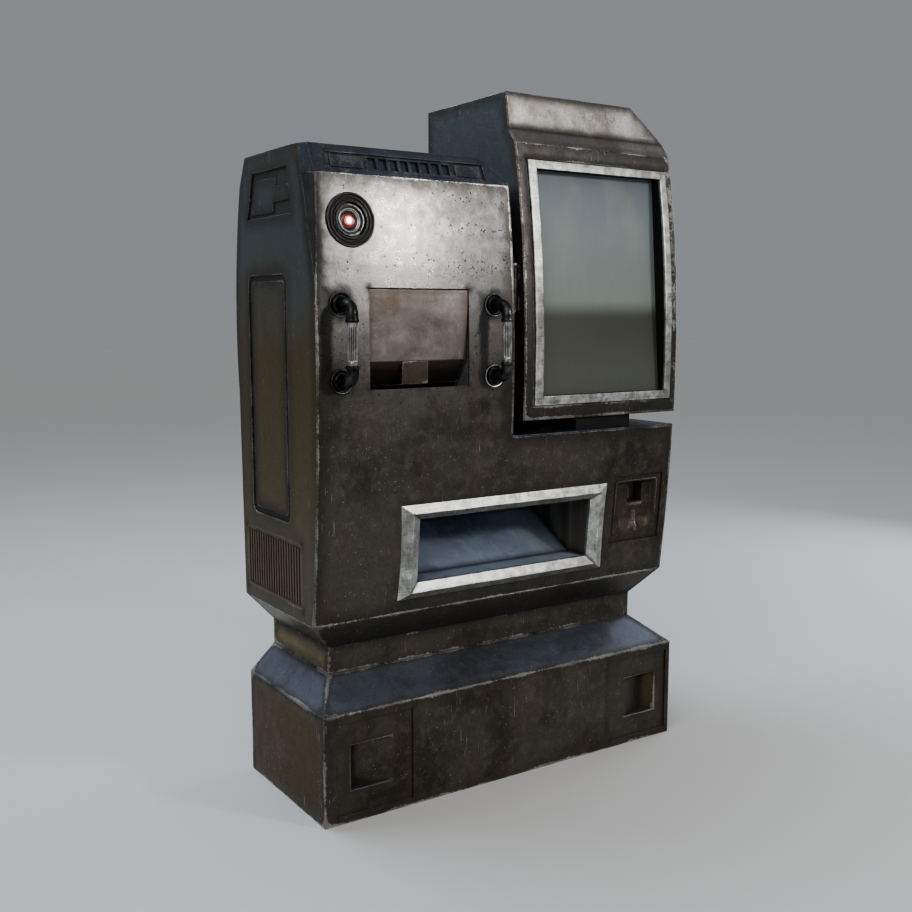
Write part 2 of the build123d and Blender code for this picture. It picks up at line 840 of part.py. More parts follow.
def door_lever():
    """A turn handle on a spindle through the rear door."""
    spindle = rod((lever_x, 386, lever_z), (lever_x, 424, lever_z), spindle_radius)
    boss = rod((lever_x, 405, lever_z), (lever_x, 415, lever_z), 15)
    paddle = block(lever_x - 10, lever_x + 10, 415, 424, lever_z - 72, lever_z + 12)
    cam = block(lever_x - 9, lever_x + 9, 386, 391, lever_z - 20, lever_z + 20)
    return spindle + boss + cam + fillet(paddle.edges().filter_by(Axis.Y), 8)


# --- Inside the cabinet ---


def service_shelf():
    return block(-half_width + 10, tower_right - sheet, 60, 390, deck_height - sheet, deck_height)


rack_x = (-478, -262)
cassette_pitch = 112


def cassette_rack():
    """Side plates and shelves for the note cassettes."""
    x0, x1 = rack_x
    rack = block(x0, x0 + 3, 80, 370, 440, 790) + block(x1 - 3, x1, 80, 370, 440, 790)
    for i in range(3):
        z = 440 + cassette_pitch * i
        rack += block(x0, x1, 80, 370, z, z + 3)
    return rack


def note_cassettes():
    """Closed note cassettes with a grip recess in the rear face."""
    x0, x1 = rack_x
    boxes = []
    for i in range(3):
        z = 443 + cassette_pitch * i
        box = block(x0 + 5, x1 - 5, 85, 368, z, z + 100)
        box -= block(x0 + 60, x1 - 60, 345, 369, z + 40, z + 75)
        boxes.append(box)
    return Compound(boxes)


def controller_box():
    body = block(262, 470, 232, 372, 440, 780)
    for i in range(6):
        z = 500 + 40 * i
        body -= block(300, 430, 371, 373, z, z + 12)
    return body


def power_supply():
    body = block(-140, 140, 150, 330, 6, 126)
    return body - rod((-141, 240, 66), (-135, 240, 66), 45)


os.makedirs("parts", exist_ok=True)
whole = cabinet()
shell = whole - cabinet(sheet, 40)

save("plinth_skirt", plinth_skirt())
save("plinth_floor", plinth_floor())
save("plinth_pocket_left", plinth_pocket(plinth_windows["left"], -1))
save("plinth_pocket_right", plinth_pocket(plinth_windows["right"], 1))
save("neck_collar", neck_collar())

save("front_fascia", front_fascia(shell))
save("left_side_cover", left_side_cover(shell))
save("right_side_cover", shell & block(half_width - sheet, far, -50, far, body_bottom, deck_height))
save("tower_right_wall", shell & block(tower_right - sheet, 0, -50, far, deck_height, 2000))
save("tower_roof", tower_roof(shell))
save("lower_deck", lower_deck(shell))
save("rear_frame", rear_frame(shell))
save("left_upper_plate", left_upper_plate())
save("left_tall_panel", left_tall_panel())
save("left_louvre", left_louvre())
save("roof_vent", roof_vent())

save("camera_housing", camera_housing())
save("camera_chrome_ring", camera_chrome_ring())
save("camera_lens", camera_lens())
save("camera_lamp", camera_lamp())

for side, x in handle_x.items():
    save(f"{side}_handle_grip", handle_grip(x))
    save(f"{side}_handle_brackets", handle_brackets(x))
save("handle_nuts", handle_nuts())

save("deposit_pocket", deposit_pocket())
save("deposit_hinge_pin", deposit_hinge_pin())
save("deposit_flap", deposit_flap())
save("deposit_tab", deposit_tab())
save("deposit_bin", deposit_bin())

save("tray_bezel", tray_bezel())
save("tray_chute", tray_chute())
save("delivery_bracket", delivery_bracket())
save("drive_roller", delivery_roller(nip_height - roller_rise))
save("pinch_roller", delivery_roller(nip_height + roller_rise))

save("card_surround", card_surround())
save("card_mouth", card_mouth())
save("card_guide", card_guide())
save("card_reader", card_reader())

for name, solid in display_parts().items():
    save(name, solid)
save("screen_bezel", screen_bezel())
save("screen_recess", screen_recess())
save("screen_glass", leaning_plate(0, 5))
save("display_panel", leaning_plate(5.5, 35))
save("tower_hinge_leaf", tower_hinge_leaf())
save("screen_hinge_leaf", screen_hinge_leaf())
save("screen_hinge_pin", screen_hinge_pin())
save("screen_rest", screen_rest())

save("rear_door", rear_door(whole))
save("door_hinges", door_hinges(whole))
save("door_lever", door_lever())

save("service_shelf", service_shelf())
save("cassette_rack", cassette_rack())
save("note_cassettes", note_cassettes())
save("controller_box", controller_box())
save("power_supply", power_supply())
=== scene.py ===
import json
import math

import bmesh
import bpy
import numpy as np
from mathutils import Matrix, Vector


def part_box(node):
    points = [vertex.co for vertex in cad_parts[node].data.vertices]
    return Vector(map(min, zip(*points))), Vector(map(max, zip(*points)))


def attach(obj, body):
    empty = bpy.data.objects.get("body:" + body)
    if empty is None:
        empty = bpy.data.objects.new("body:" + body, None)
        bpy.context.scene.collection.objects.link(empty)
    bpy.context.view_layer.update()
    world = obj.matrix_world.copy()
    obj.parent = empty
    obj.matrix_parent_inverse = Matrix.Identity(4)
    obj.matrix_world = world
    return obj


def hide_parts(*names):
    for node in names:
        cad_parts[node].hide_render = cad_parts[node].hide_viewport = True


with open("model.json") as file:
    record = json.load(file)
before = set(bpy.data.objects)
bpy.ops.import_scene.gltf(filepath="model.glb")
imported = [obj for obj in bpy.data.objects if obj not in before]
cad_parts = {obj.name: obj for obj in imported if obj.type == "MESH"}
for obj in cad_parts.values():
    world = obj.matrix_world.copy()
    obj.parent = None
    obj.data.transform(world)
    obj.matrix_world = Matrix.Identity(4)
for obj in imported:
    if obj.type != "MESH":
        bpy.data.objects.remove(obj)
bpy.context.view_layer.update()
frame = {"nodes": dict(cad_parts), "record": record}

nodes = frame["nodes"]
bodies = frame["record"]["behaviour"]["bodies"]
bodyOfNode = {node: body for body, names in bodies.items() for node in names}
milli = 0.001


stageLook = {
    "cameraPlace": (-1.4776, -2.1701, 1.0899),
    "cameraTurn": 33.54,
    "cameraDip": 7.505,
    "fieldOfView": 45.464,
    "floorSize": 60.0,
    "floorColour": (0.56, 0.555, 0.545),
    "floorRoughness": 0.7,
    "worldColour": (0.60, 0.62, 0.65),
    "worldStrength": 0.40,
    "sunTurn": (math.radians(38), math.radians(-22), math.radians(-20)),
    "sunSpread": 50,
    "sunStrength": 0.85,
    "contrast": "AgX - Medium High Contrast",
}

softboxes = {
    "keyBox": dict(place=(1.55, -3.15, 2.25), aim=(-0.3, -0.2, 1.25), size=(0.45, 0.4), watts=43,
                   tint=(1.0, 0.97, 0.94)),
    "leftFill": dict(place=(-3.4, -2.6, 2.6), aim=(-0.3, 0.0, 0.8), size=(2.2, 2.2), watts=30,
                     tint=(1.0, 0.95, 0.88)),
    "skyBox": dict(place=(-1.2, 1.6, 3.9), aim=(0.0, 0.1, 1.0), size=(2.6, 2.6), watts=105,
                   tint=(0.74, 0.86, 1.0)),
    "rightRim": dict(place=(3.4, 0.6, 1.6), aim=(0.3, 0.0, 0.9), size=(1.4, 2.0), watts=30,
                     tint=(0.85, 0.92, 1.0)),
}


def makeCamera(look):
    data = bpy.data.cameras.new("camera")
    data.sensor_width = 36
    data.angle = math.radians(look["fieldOfView"])
    camera = bpy.data.objects.new("camera", data)
    camera.location = look["cameraPlace"]
    camera.rotation_euler = (math.radians(90 - look["cameraDip"]), 0, -math.radians(look["cameraTurn"]))
    bpy.context.scene.collection.objects.link(camera)
    bpy.context.scene.camera = camera


def makeSoftbox(name, place, aim, size, watts, tint):
    data = bpy.data.lights.new(name, "AREA")
    data.shape = "RECTANGLE"
    data.size, data.size_y = size
    data.energy = watts
    data.color = tint
    light = bpy.data.objects.new(name, data)
    light.location = place
    light.rotation_euler = (Vector(aim) - Vector(place)).to_track_quat("-Z", "Y").to_euler()
    bpy.context.scene.collection.objects.link(light)


def makeFloor(look):
    half = look["floorSize"] / 2
    mesh = bpy.data.meshes.new("studioFloor")
    mesh.from_pydata([(-half, -half, 0), (half, -half, 0), (half, half, 0), (-half, half, 0)], [],
                     [(0, 1, 2, 3)])
    floor = bpy.data.objects.new("studioFloor", mesh)
    bpy.context.scene.collection.objects.link(floor)
    material = bpy.data.materials.new("studioFloor")
    material.use_nodes = True
    principled = material.node_tree.nodes["Principled BSDF"]
    principled.inputs["Base Color"].default_value = (*look["floorColour"], 1)
    principled.inputs["Roughness"].default_value = look["floorRoughness"]
    mesh.materials.append(material)


def makeSun(look):
    data = bpy.data.lights.new("skylight", "SUN")
    data.angle = math.radians(look["sunSpread"])
    data.energy = look["sunStrength"]
    light = bpy.data.objects.new("skylight", data)
    light.rotation_euler = look["sunTurn"]
    bpy.context.scene.collection.objects.link(light)


def makeWorld(look):
    world = bpy.data.worlds.new("studio")
    world.use_nodes = True
    background = world.node_tree.nodes["Background"]
    background.inputs["Color"].default_value = (*look["worldColour"], 1)
    background.inputs["Strength"].default_value = look["worldStrength"]
    bpy.context.scene.world = world


makeCamera(stageLook)
for name, settings in softboxes.items():
    makeSoftbox(name, **settings)
makeFloor(stageLook)
makeWorld(stageLook)
makeSun(stageLook)
bpy.context.scene.view_settings.look = stageLook["contrast"]
print("stage is set")


def feed(socket, value):
    if isinstance(value, bpy.types.NodeSocket):
        socket.id_data.links.new(value, socket)
    else:
        socket.default_value = (*value, 1) if socket.type == "RGBA" else value


def newNode(kind, *values):
    # the node goes into the tree that its first linked value comes from
    tree = next(value.id_data for value in values if isinstance(value, bpy.types.NodeSocket))
    return tree.nodes.new(kind)


def calc(operation, *values, clamp=False):
    node = newNode("ShaderNodeMath", *values)
    node.operation = operation
    node.use_clamp = clamp
    for socket, value in zip(node.inputs, values):
        feed(socket, value)
    return node.outputs[0]


def arithmetic(operation):
    return lambda *values, clamp=False: calc(operation, *values, clamp=clamp)


times, plus, less, larger = map(arithmetic, ("MULTIPLY", "ADD", "SUBTRACT", "MAXIMUM"))
scaled = arithmetic("MULTIPLY_ADD")  # value, factor, offset


def blendColour(mask, a, b, kind="MIX"):
    node = newNode("ShaderNodeMix", mask, a, b)
    node.data_type = "RGBA"
    node.blend_type = kind
    node.clamp_factor = True
    for index, value in ((0, mask), (6, a), (7, b)):
        feed(node.inputs[index], value)
    return node.outputs[2]


def remap(value, low, high, toLow=0.0, toHigh=1.0):
    node = newNode("ShaderNodeMapRange", value)
    node.interpolation_type = "SMOOTHSTEP"
    labels = ("Value", "From Min", "From Max", "To Min", "To Max")
    for label, number in zip(labels, (value, low, high, toLow, toHigh)):
        feed(node.inputs[label], number)
    return node.outputs["Result"]


def noise(vector, scale, detail=4.0, roughness=0.55, distortion=0.0):
    node = newNode("ShaderNodeTexNoise", vector)
    labels = ("Vector", "Scale", "Detail", "Roughness", "Distortion")
    for label, value in zip(labels, (vector, scale, detail, roughness, distortion)):
        feed(node.inputs[label], value)
    return node.outputs["Fac"]


def stretched(vector, scale, turn=(0, 0, 0)):
    node = newNode("ShaderNodeMapping", vector)
    for label, value in (("Vector", vector), ("Scale", scale), ("Rotation", turn)):
        feed(node.inputs[label], value)
    return node.outputs["Vector"]


def readAttribute(point, name):
    node = newNode("ShaderNodeAttribute", point)
    node.attribute_name = name
    return node.outputs["Fac"]


def axes(vector):
    node = newNode("ShaderNodeSeparateXYZ", vector)
    feed(node.inputs[0], vector)
    return node.outputs


def newGroup(name, outputs, vector="Vector", **numbers):
    tree = bpy.data.node_groups.new(name, "ShaderNodeTree")
    tree.interface.new_socket(vector, in_out="INPUT", socket_type="NodeSocketVector")
    for label, value in numbers.items():
        socket = tree.interface.new_socket(label, in_out="INPUT", socket_type="NodeSocketFloat")
        socket.default_value = value
    for label in outputs:
        tree.interface.new_socket(label, in_out="OUTPUT", socket_type="NodeSocketFloat")
    return tree, tree.nodes.new("NodeGroupInput").outputs, tree.nodes.new("NodeGroupOutput").inputs


def useGroup(group, **values):
    node = newNode("ShaderNodeGroup", *values.values())
    node.node_tree = group
    for label, value in values.items():
        feed(node.inputs[label], value)
    return node.outputs


def makeEdgeWear():
    # bare metal shows where the distance to a ridge is less than the width times a ragged noise;
    # a slower noise dims whole stretches of the edge
    tree, given, result = newGroup("edgeWear", ["Mask"], Distance=50.0, Width=5.0, Bias=0.0)
    vector = given["Vector"]
    broad = noise(vector, 13, 3)
    ragged = noise(vector, 170, 5, 0.72)
    reach = scaled(broad, 3.2, -1.05)
    reach = plus(reach, scaled(ragged, 3.0, -1.5))
    reach = plus(reach, given["Bias"])
    reach = times(reach, given["Width"])
    gap = less(reach, given["Distance"])
    stretches = remap(noise(vector, 7.5, 3), 0.35, 0.58, 0.4, 1.0)
    feed(result["Mask"], times(remap(gap, -0.3, 1.6), stretches))
    return tree


def makeCreaseDirtAndShade():
    # dirt and painted shade are thickest in a crease and fade over a width that a broad noise changes
    tree, given, result = newGroup("creaseDirtAndShade", ["Mask"], Distance=50.0, Width=20.0)
    broad = noise(given["Vector"], 22, 4, 0.6)
    width = times(scaled(broad, 1.6, 0.1), given["Width"])
    share = calc("DIVIDE", given["Distance"], width)
    mask = less(1.0, share, clamp=True)
    feed(result["Mask"], calc("POWER", mask, 1.4))
    return tree


def makeScratches():
    # long thin cells of stretched noise, cut at a high level, laid in three directions and thinned by
    # patches
    tree, given, result = newGroup("scratches", ["Mask"], Amount=0.5)
    total = None
    for turn, across, along, cut in ((0.2, 420, 16, 0.70), (0.75, 380, 22, 0.715), (-0.5, 460, 18, 0.71)):
        cells = stretched(given["Vector"], (across, across * 0.5, along), (0, turn, 0))
        line = remap(noise(cells, 1.0, 2, 0.5), cut, cut + 0.03)
        total = line if total is None else larger(total, line)
    patches = remap(noise(given["Vector"], 9, 4, 0.65), 0.5, 0.64)
    mask = times(times(total, patches), given["Amount"])
    feed(result["Mask"], mask)
    return tree


def makePits():
    # a ragged dot in some cells of a cellular pattern, gathered into loose clusters by a broad noise
    tree, given, result = newGroup("pits", ["Mask"], Scale=90.0, Share=0.3)
    vector = given["Vector"]
    cells = newNode("ShaderNodeTexVoronoi", vector)
    wobble = noise(vector, 700, 2)
    feed(cells.inputs["Vector"], vector)
    feed(cells.inputs["Scale"], given["Scale"])
    split = newNode("ShaderNodeSeparateColor", vector)
    feed(split.inputs["Color"], cells.outputs["Color"])
    distance = plus(cells.outputs["Distance"], scaled(wobble, 0.5, -0.25))
    size = calc("POWER", split.outputs["Green"], 3.0)
    radius = scaled(size, 0.26, 0.07)
    dot = remap(less(radius, distance), -0.02, 0.05)
    cluster = remap(noise(vector, 8, 3), 0.38, 0.62, 0.25, 1.9)
    chosen = calc("LESS_THAN", split.outputs["Red"], times(given["Share"], cluster))
    feed(result["Mask"], times(dot, chosen))
    return tree


def makeMottle():
    # cloudy stains at two sizes, streaks that run down the face, and a fine grit
    tree, given, result = newGroup("mottle", ["Broad", "Fine", "Streak", "Grit"])
    vector = given["Vector"]
    feed(result["Broad"], noise(vector, 4.5, 6, 0.62, 0.4))
    feed(result["Fine"], noise(vector, 38, 6, 0.68, 0.2))
    feed(result["Streak"], noise(stretched(vector, (30, 30, 3.2)), 1.0, 5, 0.6))
    feed(result["Grit"], noise(stretched(vector, (1, 1, 0.7)), 330, 4, 0.7))
    return tree


def makeFacing():
    # how far the face points up, down or to the left, from its own normal
    tree, given, result = newGroup("facing", ["Up", "Down", "Left"], vector="Normal")
    split = axes(given["Normal"])
    feed(result["Up"], remap(split["Z"], 0.25, 0.6))
    feed(result["Down"], remap(times(split["Z"], -1.0), 0.25, 0.6))
    feed(result["Left"], remap(times(split["X"], -1.0), 0.3, 0.7))
    return tree


edgeWear = makeEdgeWear()
creaseDirtAndShade = makeCreaseDirtAndShade()
scratches = makeScratches()
pits = makePits()
mottle = makeMottle()
facing = makeFacing()
print("shared shader groups are ready")


steelLook = {
    "dark": (0.046, 0.041, 0.034),
    "mid": (0.092, 0.083, 0.070),
    "light": (0.148, 0.138, 0.122),
    "bare": (0.42, 0.41, 0.39),
    "rust": (0.120, 0.060, 0.032),
    "grimeAndShade": (0.010, 0.009, 0.008),
    # high is the colour of a painted highlight patch on the upper front
    "high": (0.27, 0.268, 0.265),
    # upper is a paler grey towards the top, partly the steel's own tone and partly painted light
    "upper": (0.150, 0.149, 0.148),
    "upperFrom": 9.0,
    "upperTo": 10.0,
    # blue, olive and cold are painted sky reflection and painted light on faces that point up or to the
    # left
    "blue": (0.098, 0.113, 0.146),
    "olive": (0.132, 0.105, 0.048),
    "cold": (0.115, 0.138, 0.146),
    # borderShade is painted shade that darkens a panel within borderWidth of its edges
    "borderShade": (0.080, 0.067, 0.053),
    "borderWidth": 30.0,
    "borderAmount": 0.7,
    # the highlight patch: a painted highlight, lighter round highlightPatchPlace, with real extra gloss
    "highlightPatchPlace": (-0.31, 1.24),
    "highlightPatchReach": 0.36,
    "highlightPatchAmount": 0.0,
    "highlightPatchGloss": -0.11,
    "blueAmount": 0.85,
    "wearWidth": 3.0,
    "wearAmount": 0.85,
    "wearBias": 0.0,
    "dirtAndShadeWidth": 22.0,
    "rustAmount": 0.16,
    "scratchAmount": 0.7,
    "pitShare": 0.34,
    "speckShare": 0.13,
    "metallic": 0.85,
    "roughness": 0.40,
}


def newMaterial(name):
    material = bpy.data.materials.new(name)
    material.use_nodes = True
    tree = material.node_tree
    point = tree.nodes.new("ShaderNodeTexCoord").outputs["Object"]
    return material, tree.nodes["Principled BSDF"], point


def newSkin(name):
    material, principled, point = newMaterial(name)
    return material, principled, point, useGroup(mottle, Vector=point)


def edgeMask(point, width, bias=0.0):
    ridge = readAttribute(point, "ridge")
    return useGroup(edgeWear, Vector=point, Distance=ridge, Width=width, Bias=bias)["Mask"]


# dirt and painted shade in creases, from the crease distance
def dirtAndShadeMask(point, width):
    crease = readAttribute(point, "crease")
    return useGroup(creaseDirtAndShade, Vector=point, Distance=crease, Width=width)["Mask"]


def dress(principled, colour, rough, metal=0.0):
    for label, value in (("Base Color", colour), ("Roughness", rough), ("Metallic", metal)):
        feed(principled.inputs[label], value)


def bumpFrom(principled, height, strength, distance):
    node = newNode("ShaderNodeBump", height)
    for label, value in (("Strength", strength), ("Distance", distance), ("Height", height)):
        feed(node.inputs[label], value)
    feed(principled.inputs["Normal"], node.outputs["Normal"])


def objectNormal(point):
    return newNode("ShaderNodeTexCoord", point).outputs["Normal"]


def gritty(colour, grit, depth):
    # every tone is multiplied by a value just under or over one, from the fine grit
    shade = scaled(grit, 2 * depth, 1 - depth)
    return blendColour(1.0, colour, shade, "MULTIPLY")


def wornSteel(name, **changes):
    # stained steel: clouds of three greys, a paler grey towards the top that is partly painted light, a
    # painted highlight patch, painted sky reflection in blue where it faces up, painted light in cold and
    # olive tones on the left side, painted shade on faces that point left or down and near panel edges,
    # browner stains, bright ridges and scratches, dark pits, and dark creases of dirt and painted shade
    look = {**steelLook, **changes}
    material, principled, point, cloud = newSkin(name)
    side = useGroup(facing, Normal=objectNormal(point))
    split = axes(point)
    ridge = readAttribute(point, "ridge")
    wear = edgeMask(point, look["wearWidth"], look["wearBias"])
    dirtAndShade = dirtAndShadeMask(point, look["dirtAndShadeWidth"])
    lines = useGroup(scratches, Vector=point, Amount=look["scratchAmount"])["Mask"]
    holes = useGroup(pits, Vector=point, Scale=135.0, Share=look["pitShare"])["Mask"]
    turned = stretched(point, (1, 1, 0.7), (0.3, 0.5, 0.2))
    specks = useGroup(pits, Vector=turned, Scale=260.0, Share=look["speckShare"])["Mask"]

    colour = blendColour(remap(cloud["Broad"], 0.36, 0.62), look["dark"], look["mid"])
    colour = blendColour(remap(cloud["Fine"], 0.45, 0.75, 0.0, 0.6), colour, look["light"])
    # painted highlight: a lighter patch round a point on the upper front, ragged by a broad noise; it also
    # adds gloss and pits
    across = calc("POWER", less(split["X"], look["highlightPatchPlace"][0]), 2.0)
    upward = calc("POWER", less(split["Z"], look["highlightPatchPlace"][1]), 2.0)
    away = calc("SQRT", scaled(across, 1.9, upward))
    away = plus(away, scaled(cloud["Broad"], 0.3, -0.15))
    high = times(remap(away, look["highlightPatchReach"], 0.02), look["highlightPatchAmount"])
    # paler grey towards the top: partly the steel's own tone, partly painted light on the upper front
    rise = plus(split["Z"], scaled(cloud["Broad"], 0.5, -0.25))
    paleAndLitTop = scaled(cloud["Fine"], -0.4, remap(rise, look["upperFrom"], look["upperTo"], 0.0, 1.1),
                   clamp=True)
    colour = blendColour(paleAndLitTop, colour, look["upper"])
    colour = blendColour(high, colour, look["high"])
    # painted light on faces that point left: cold above, olive below
    lower = remap(rise, 1.25, 0.95)
    flank = blendColour(lower, look["cold"], look["olive"])
    inward = remap(ridge, 4.0, 38.0)
    flankMask = times(side["Left"], scaled(inward, 0.55, 0.35))
    # painted shade: faces that point left or down are darkened
    colour = blendColour(times(side["Left"], 0.45), colour, look["dark"])
    colour = blendColour(flankMask, colour, flank)
    colour = blendColour(times(side["Down"], 0.6), colour, look["dark"])
    # painted shade: darker within borderWidth of the panel's edges
    margin = remap(scaled(cloud["Fine"], -50.0, plus(ridge, 25.0)), look["borderWidth"], 0.0)
    colour = blendColour(times(margin, look["borderAmount"]), colour, look["borderShade"])
    stain = times(remap(cloud["Streak"], 0.5, 0.72), look["rustAmount"])
    colour = blendColour(stain, colour, look["rust"])
    # painted sky reflection: blue on faces that point up, less near edges
    blue = times(remap(cloud["Broad"], 0.30, 0.52, 0.35, 1.0), remap(ridge, 2.0, 20.0, 0.45, 1.0))
    blue = times(times(blue, side["Up"]), look["blueAmount"])
    colour = blendColour(blue, colour, look["blue"])
    colour = gritty(colour, cloud["Grit"], 0.55)
    # dark creases: dirt and painted shade
    colour = blendColour(times(dirtAndShade, 0.9), colour, look["grimeAndShade"])
    holes = times(holes, scaled(larger(high, paleAndLitTop), 0.6, 0.3))
    colour = blendColour(holes, colour, look["grimeAndShade"])
    specks = times(specks, scaled(paleAndLitTop, -0.55, 0.55))
    bright = larger(lines, specks)
    bright = larger(bright, times(wear, look["wearAmount"]))
    bright = times(bright, less(1.0, times(dirtAndShade, 0.7)))
    colour = blendColour(bright, colour, look["bare"])

    rough = scaled(cloud["Fine"], 0.36, look["roughness"] - 0.18)
    rough = scaled(high, look["highlightPatchGloss"], rough)
    rough = plus(rough, times(dirtAndShade, 0.3))
    rough = plus(rough, scaled(cloud["Grit"], 0.2, -0.1))
    rough = less(rough, times(bright, 0.1), clamp=True)
    dull = times(plus(dirtAndShade, stain), 0.6)
    metal = less(look["metallic"], dull, clamp=True)
    dress(principled, colour, rough, larger(metal, bright))

    height = scaled(cloud["Grit"], 0.45, times(cloud["Fine"], 0.9))
    height = less(height, times(holes, 0.9))
    height = less(height, times(larger(lines, wear), 0.3))
    bumpFrom(principled, height, 0.5, 0.0012)
    return material


def brightFrame(name, dull, pale):
    # scuffed bright steel: fine streaks along the bars, cloudy dull patches, dark seams of dirt and painted
    # shade, and painted shade on faces that point down
    material, principled, point, cloud = newSkin(name)
    dirtAndShade = dirtAndShadeMask(point, 6.0)
    wear = edgeMask(point, 2.0)
    lines = useGroup(scratches, Vector=point, Amount=0.6)["Mask"]
    acrossBars = noise(stretched(point, (14, 14, 260)), 1.0, 4, 0.65)
    alongBars = noise(stretched(point, (260, 260, 14)), 1.0, 4, 0.65)
    grain = times(plus(acrossBars, alongBars), 0.5)
    tone = plus(remap(cloud["Fine"], 0.35, 0.7, 0.0, 0.7), scaled(grain, 1.6, -0.65))
    colour = blendColour(tone, dull, pale)
    colour = blendColour(remap(cloud["Broad"], 0.46, 0.7, 0.0, 0.75), colour, (0.17, 0.165, 0.13))
    side = useGroup(facing, Normal=objectNormal(point))
    # painted shade on faces that point down
    colour = blendColour(times(side["Down"], 0.6), colour, (0.11, 0.105, 0.075))
    colour = gritty(colour, cloud["Grit"], 0.45)
    colour = blendColour(larger(wear, lines), colour, (0.80, 0.81, 0.79))
    colour = blendColour(dirtAndShade, colour, (0.02, 0.018, 0.015))
    rough = plus(scaled(cloud["Fine"], 0.3, 0.15), times(grain, 0.2))
    dress(principled, colour, rough, scaled(dirtAndShade, -0.8, 0.95, clamp=True))
    height = plus(grain, times(cloud["Fine"], 1.5))
    bumpFrom(principled, height, 0.35, 0.0008)
    return material


chuteLook = {
    # deep, blue and rubbed are blue-grey paint made lighter to stand for the light and sky reflection on
    # the slide
    "deep": (0.16, 0.20, 0.265),
    "blue": (0.32, 0.385, 0.47),
    "rubbed": (0.50, 0.55, 0.60),
    "wall": (0.085, 0.078, 0.066),
    "wallLight": (0.17, 0.16, 0.145),
}


def bluePaintAndSky(name, look):
    # baked blue-grey paint on the slide, lightened and blued as painted light and painted sky reflection,
    # rubbed through in broad patches and long slides; bare brown steel cheeks; dirt and painted shade in
    # its creases
    material, principled, point, cloud = newSkin(name)
    dirtAndShade = dirtAndShadeMask(point, 24.0)
    slides = noise(stretched(point, (26, 9, 9), (0, 0, 0.5)), 1.0, 6, 0.65, 0.6)
    lines = useGroup(scratches, Vector=point, Amount=0.3)["Mask"]
    cheek = remap(calc("ABSOLUTE", axes(objectNormal(point))["X"]), 0.5, 0.8)
    colour = blendColour(remap(cloud["Broad"], 0.35, 0.6), look["deep"], look["blue"])
    colour = blendColour(remap(cloud["Fine"], 0.5, 0.75, 0.0, 0.5), colour, look["rubbed"])
    colour = blendColour(remap(slides, 0.5, 0.72, 0.0, 0.5), colour, look["rubbed"])
    bands = noise(stretched(point, (30, 30, 1.5)), 1.0, 3, 0.5)
    wall = blendColour(remap(bands, 0.4, 0.6), look["wall"], look["wallLight"])
    colour = blendColour(cheek, colour, wall)
    colour = gritty(colour, cloud["Grit"], 0.35)
    colour = blendColour(lines, colour, (0.5, 0.52, 0.54))
    colour = blendColour(times(dirtAndShade, 0.85), colour, (0.02, 0.02, 0.022))
    dress(principled, colour, scaled(cloud["Fine"], 0.4, 0.16), 0.3)
    bumpFrom(principled, plus(slides, times(lines, -0.6)), 0.3, 0.0008)
    return material


def simpleSkin(name, dark, light, metallic, roughness, grainScale, bump, coat=0.0):
    # two tones mixed by clouds and a fine grain, for castings, mouldings, plated sheet and hardware
    material, principled, point, cloud = newSkin(name)
    grain = noise(point, grainScale, 4, 0.6)
    mask = scaled(grain, 0.5, scaled(cloud["Fine"], 1.2, -0.35), clamp=True)
    dress(principled, blendColour(mask, dark, light), scaled(mask, 0.2, roughness - 0.1), metallic)
    principled.inputs["Coat Weight"].default_value = coat
    principled.inputs["Specular IOR Level"].default_value = 0.25 if max(light) < 0.02 else 0.5
    bumpFrom(principled, plus(grain, cloud["Fine"]), bump, 0.0006)
    return material


def rubbedMetal(name, dark, light, bare, roughness, wearWidth=1.6):
    # a dark skin rubbed to metal on its rims, with dirt and painted shade in its grooves
    material, principled, point, cloud = newSkin(name)
    wear = edgeMask(point, wearWidth)
    dirtAndShade = dirtAndShadeMask(point, 3.0)
    colour = blendColour(remap(cloud["Fine"], 0.42, 0.7), dark, light)
    colour = gritty(colour, cloud["Grit"], 0.4)
    colour = blendColour(wear, colour, bare)
    colour = blendColour(dirtAndShade, colour, (0.008, 0.008, 0.008))
    dress(principled, colour, scaled(cloud["Fine"], 0.3, roughness - 0.15), 0.85)
    bumpFrom(principled, noise(point, 500, 4, 0.6), 0.25, 0.0006)
    return material


glassLook = {
    # tones of the painted reflection on the glass from the top down to the foot; horizon is the height of
    # the reflected horizon
    "top": (0.143, 0.172, 0.192),
    "middle": (0.180, 0.220, 0.222),
    "band": (0.190, 0.216, 0.200),
    "under": (0.053, 0.056, 0.046),
    "foot": (0.080, 0.085, 0.073),
    "smudge": (0.28, 0.29, 0.255),
    "horizon": 0.37,
}


def paintedReflectionGlass(name, look, low, high):
    # a painted reflection of the room: blue-grey at the top and greenish lower down, with a dark field
    # under a soft level line for the reflected horizon, clouded by smudges and fine upright streaks
    material, principled, point, cloud = newSkin(name)
    split = axes(point)
    height = calc("DIVIDE", less(split["Z"], low), high - low)
    height = plus(height, scaled(cloud["Fine"], 0.008, -0.004))
    line = look["horizon"]
    colour = blendColour(remap(height, 0.0, line), look["foot"], look["under"])
    colour = blendColour(remap(height, line - 0.03, line + 0.07), colour, look["band"])
    colour = blendColour(remap(height, line + 0.05, 0.75), colour, look["middle"])
    colour = blendColour(remap(height, 0.7, 1.0), colour, look["top"])
    smear = noise(stretched(point, (7, 7, 6)), 1.0, 2, 0.5, 0.25)
    above = remap(height, line, 0.8)
    colour = blendColour(times(remap(smear, 0.42, 0.78, 0.0, 0.55), above), colour, look["smudge"])
    streak = noise(stretched(point, (120, 120, 2.5)), 1.0, 4, 0.6)
    colour = gritty(colour, streak, 0.07)
    dress(principled, colour, remap(cloud["Broad"], 0.3, 0.7, 0.38, 0.42))
    principled.inputs["Specular IOR Level"].default_value = 0.35
    return material


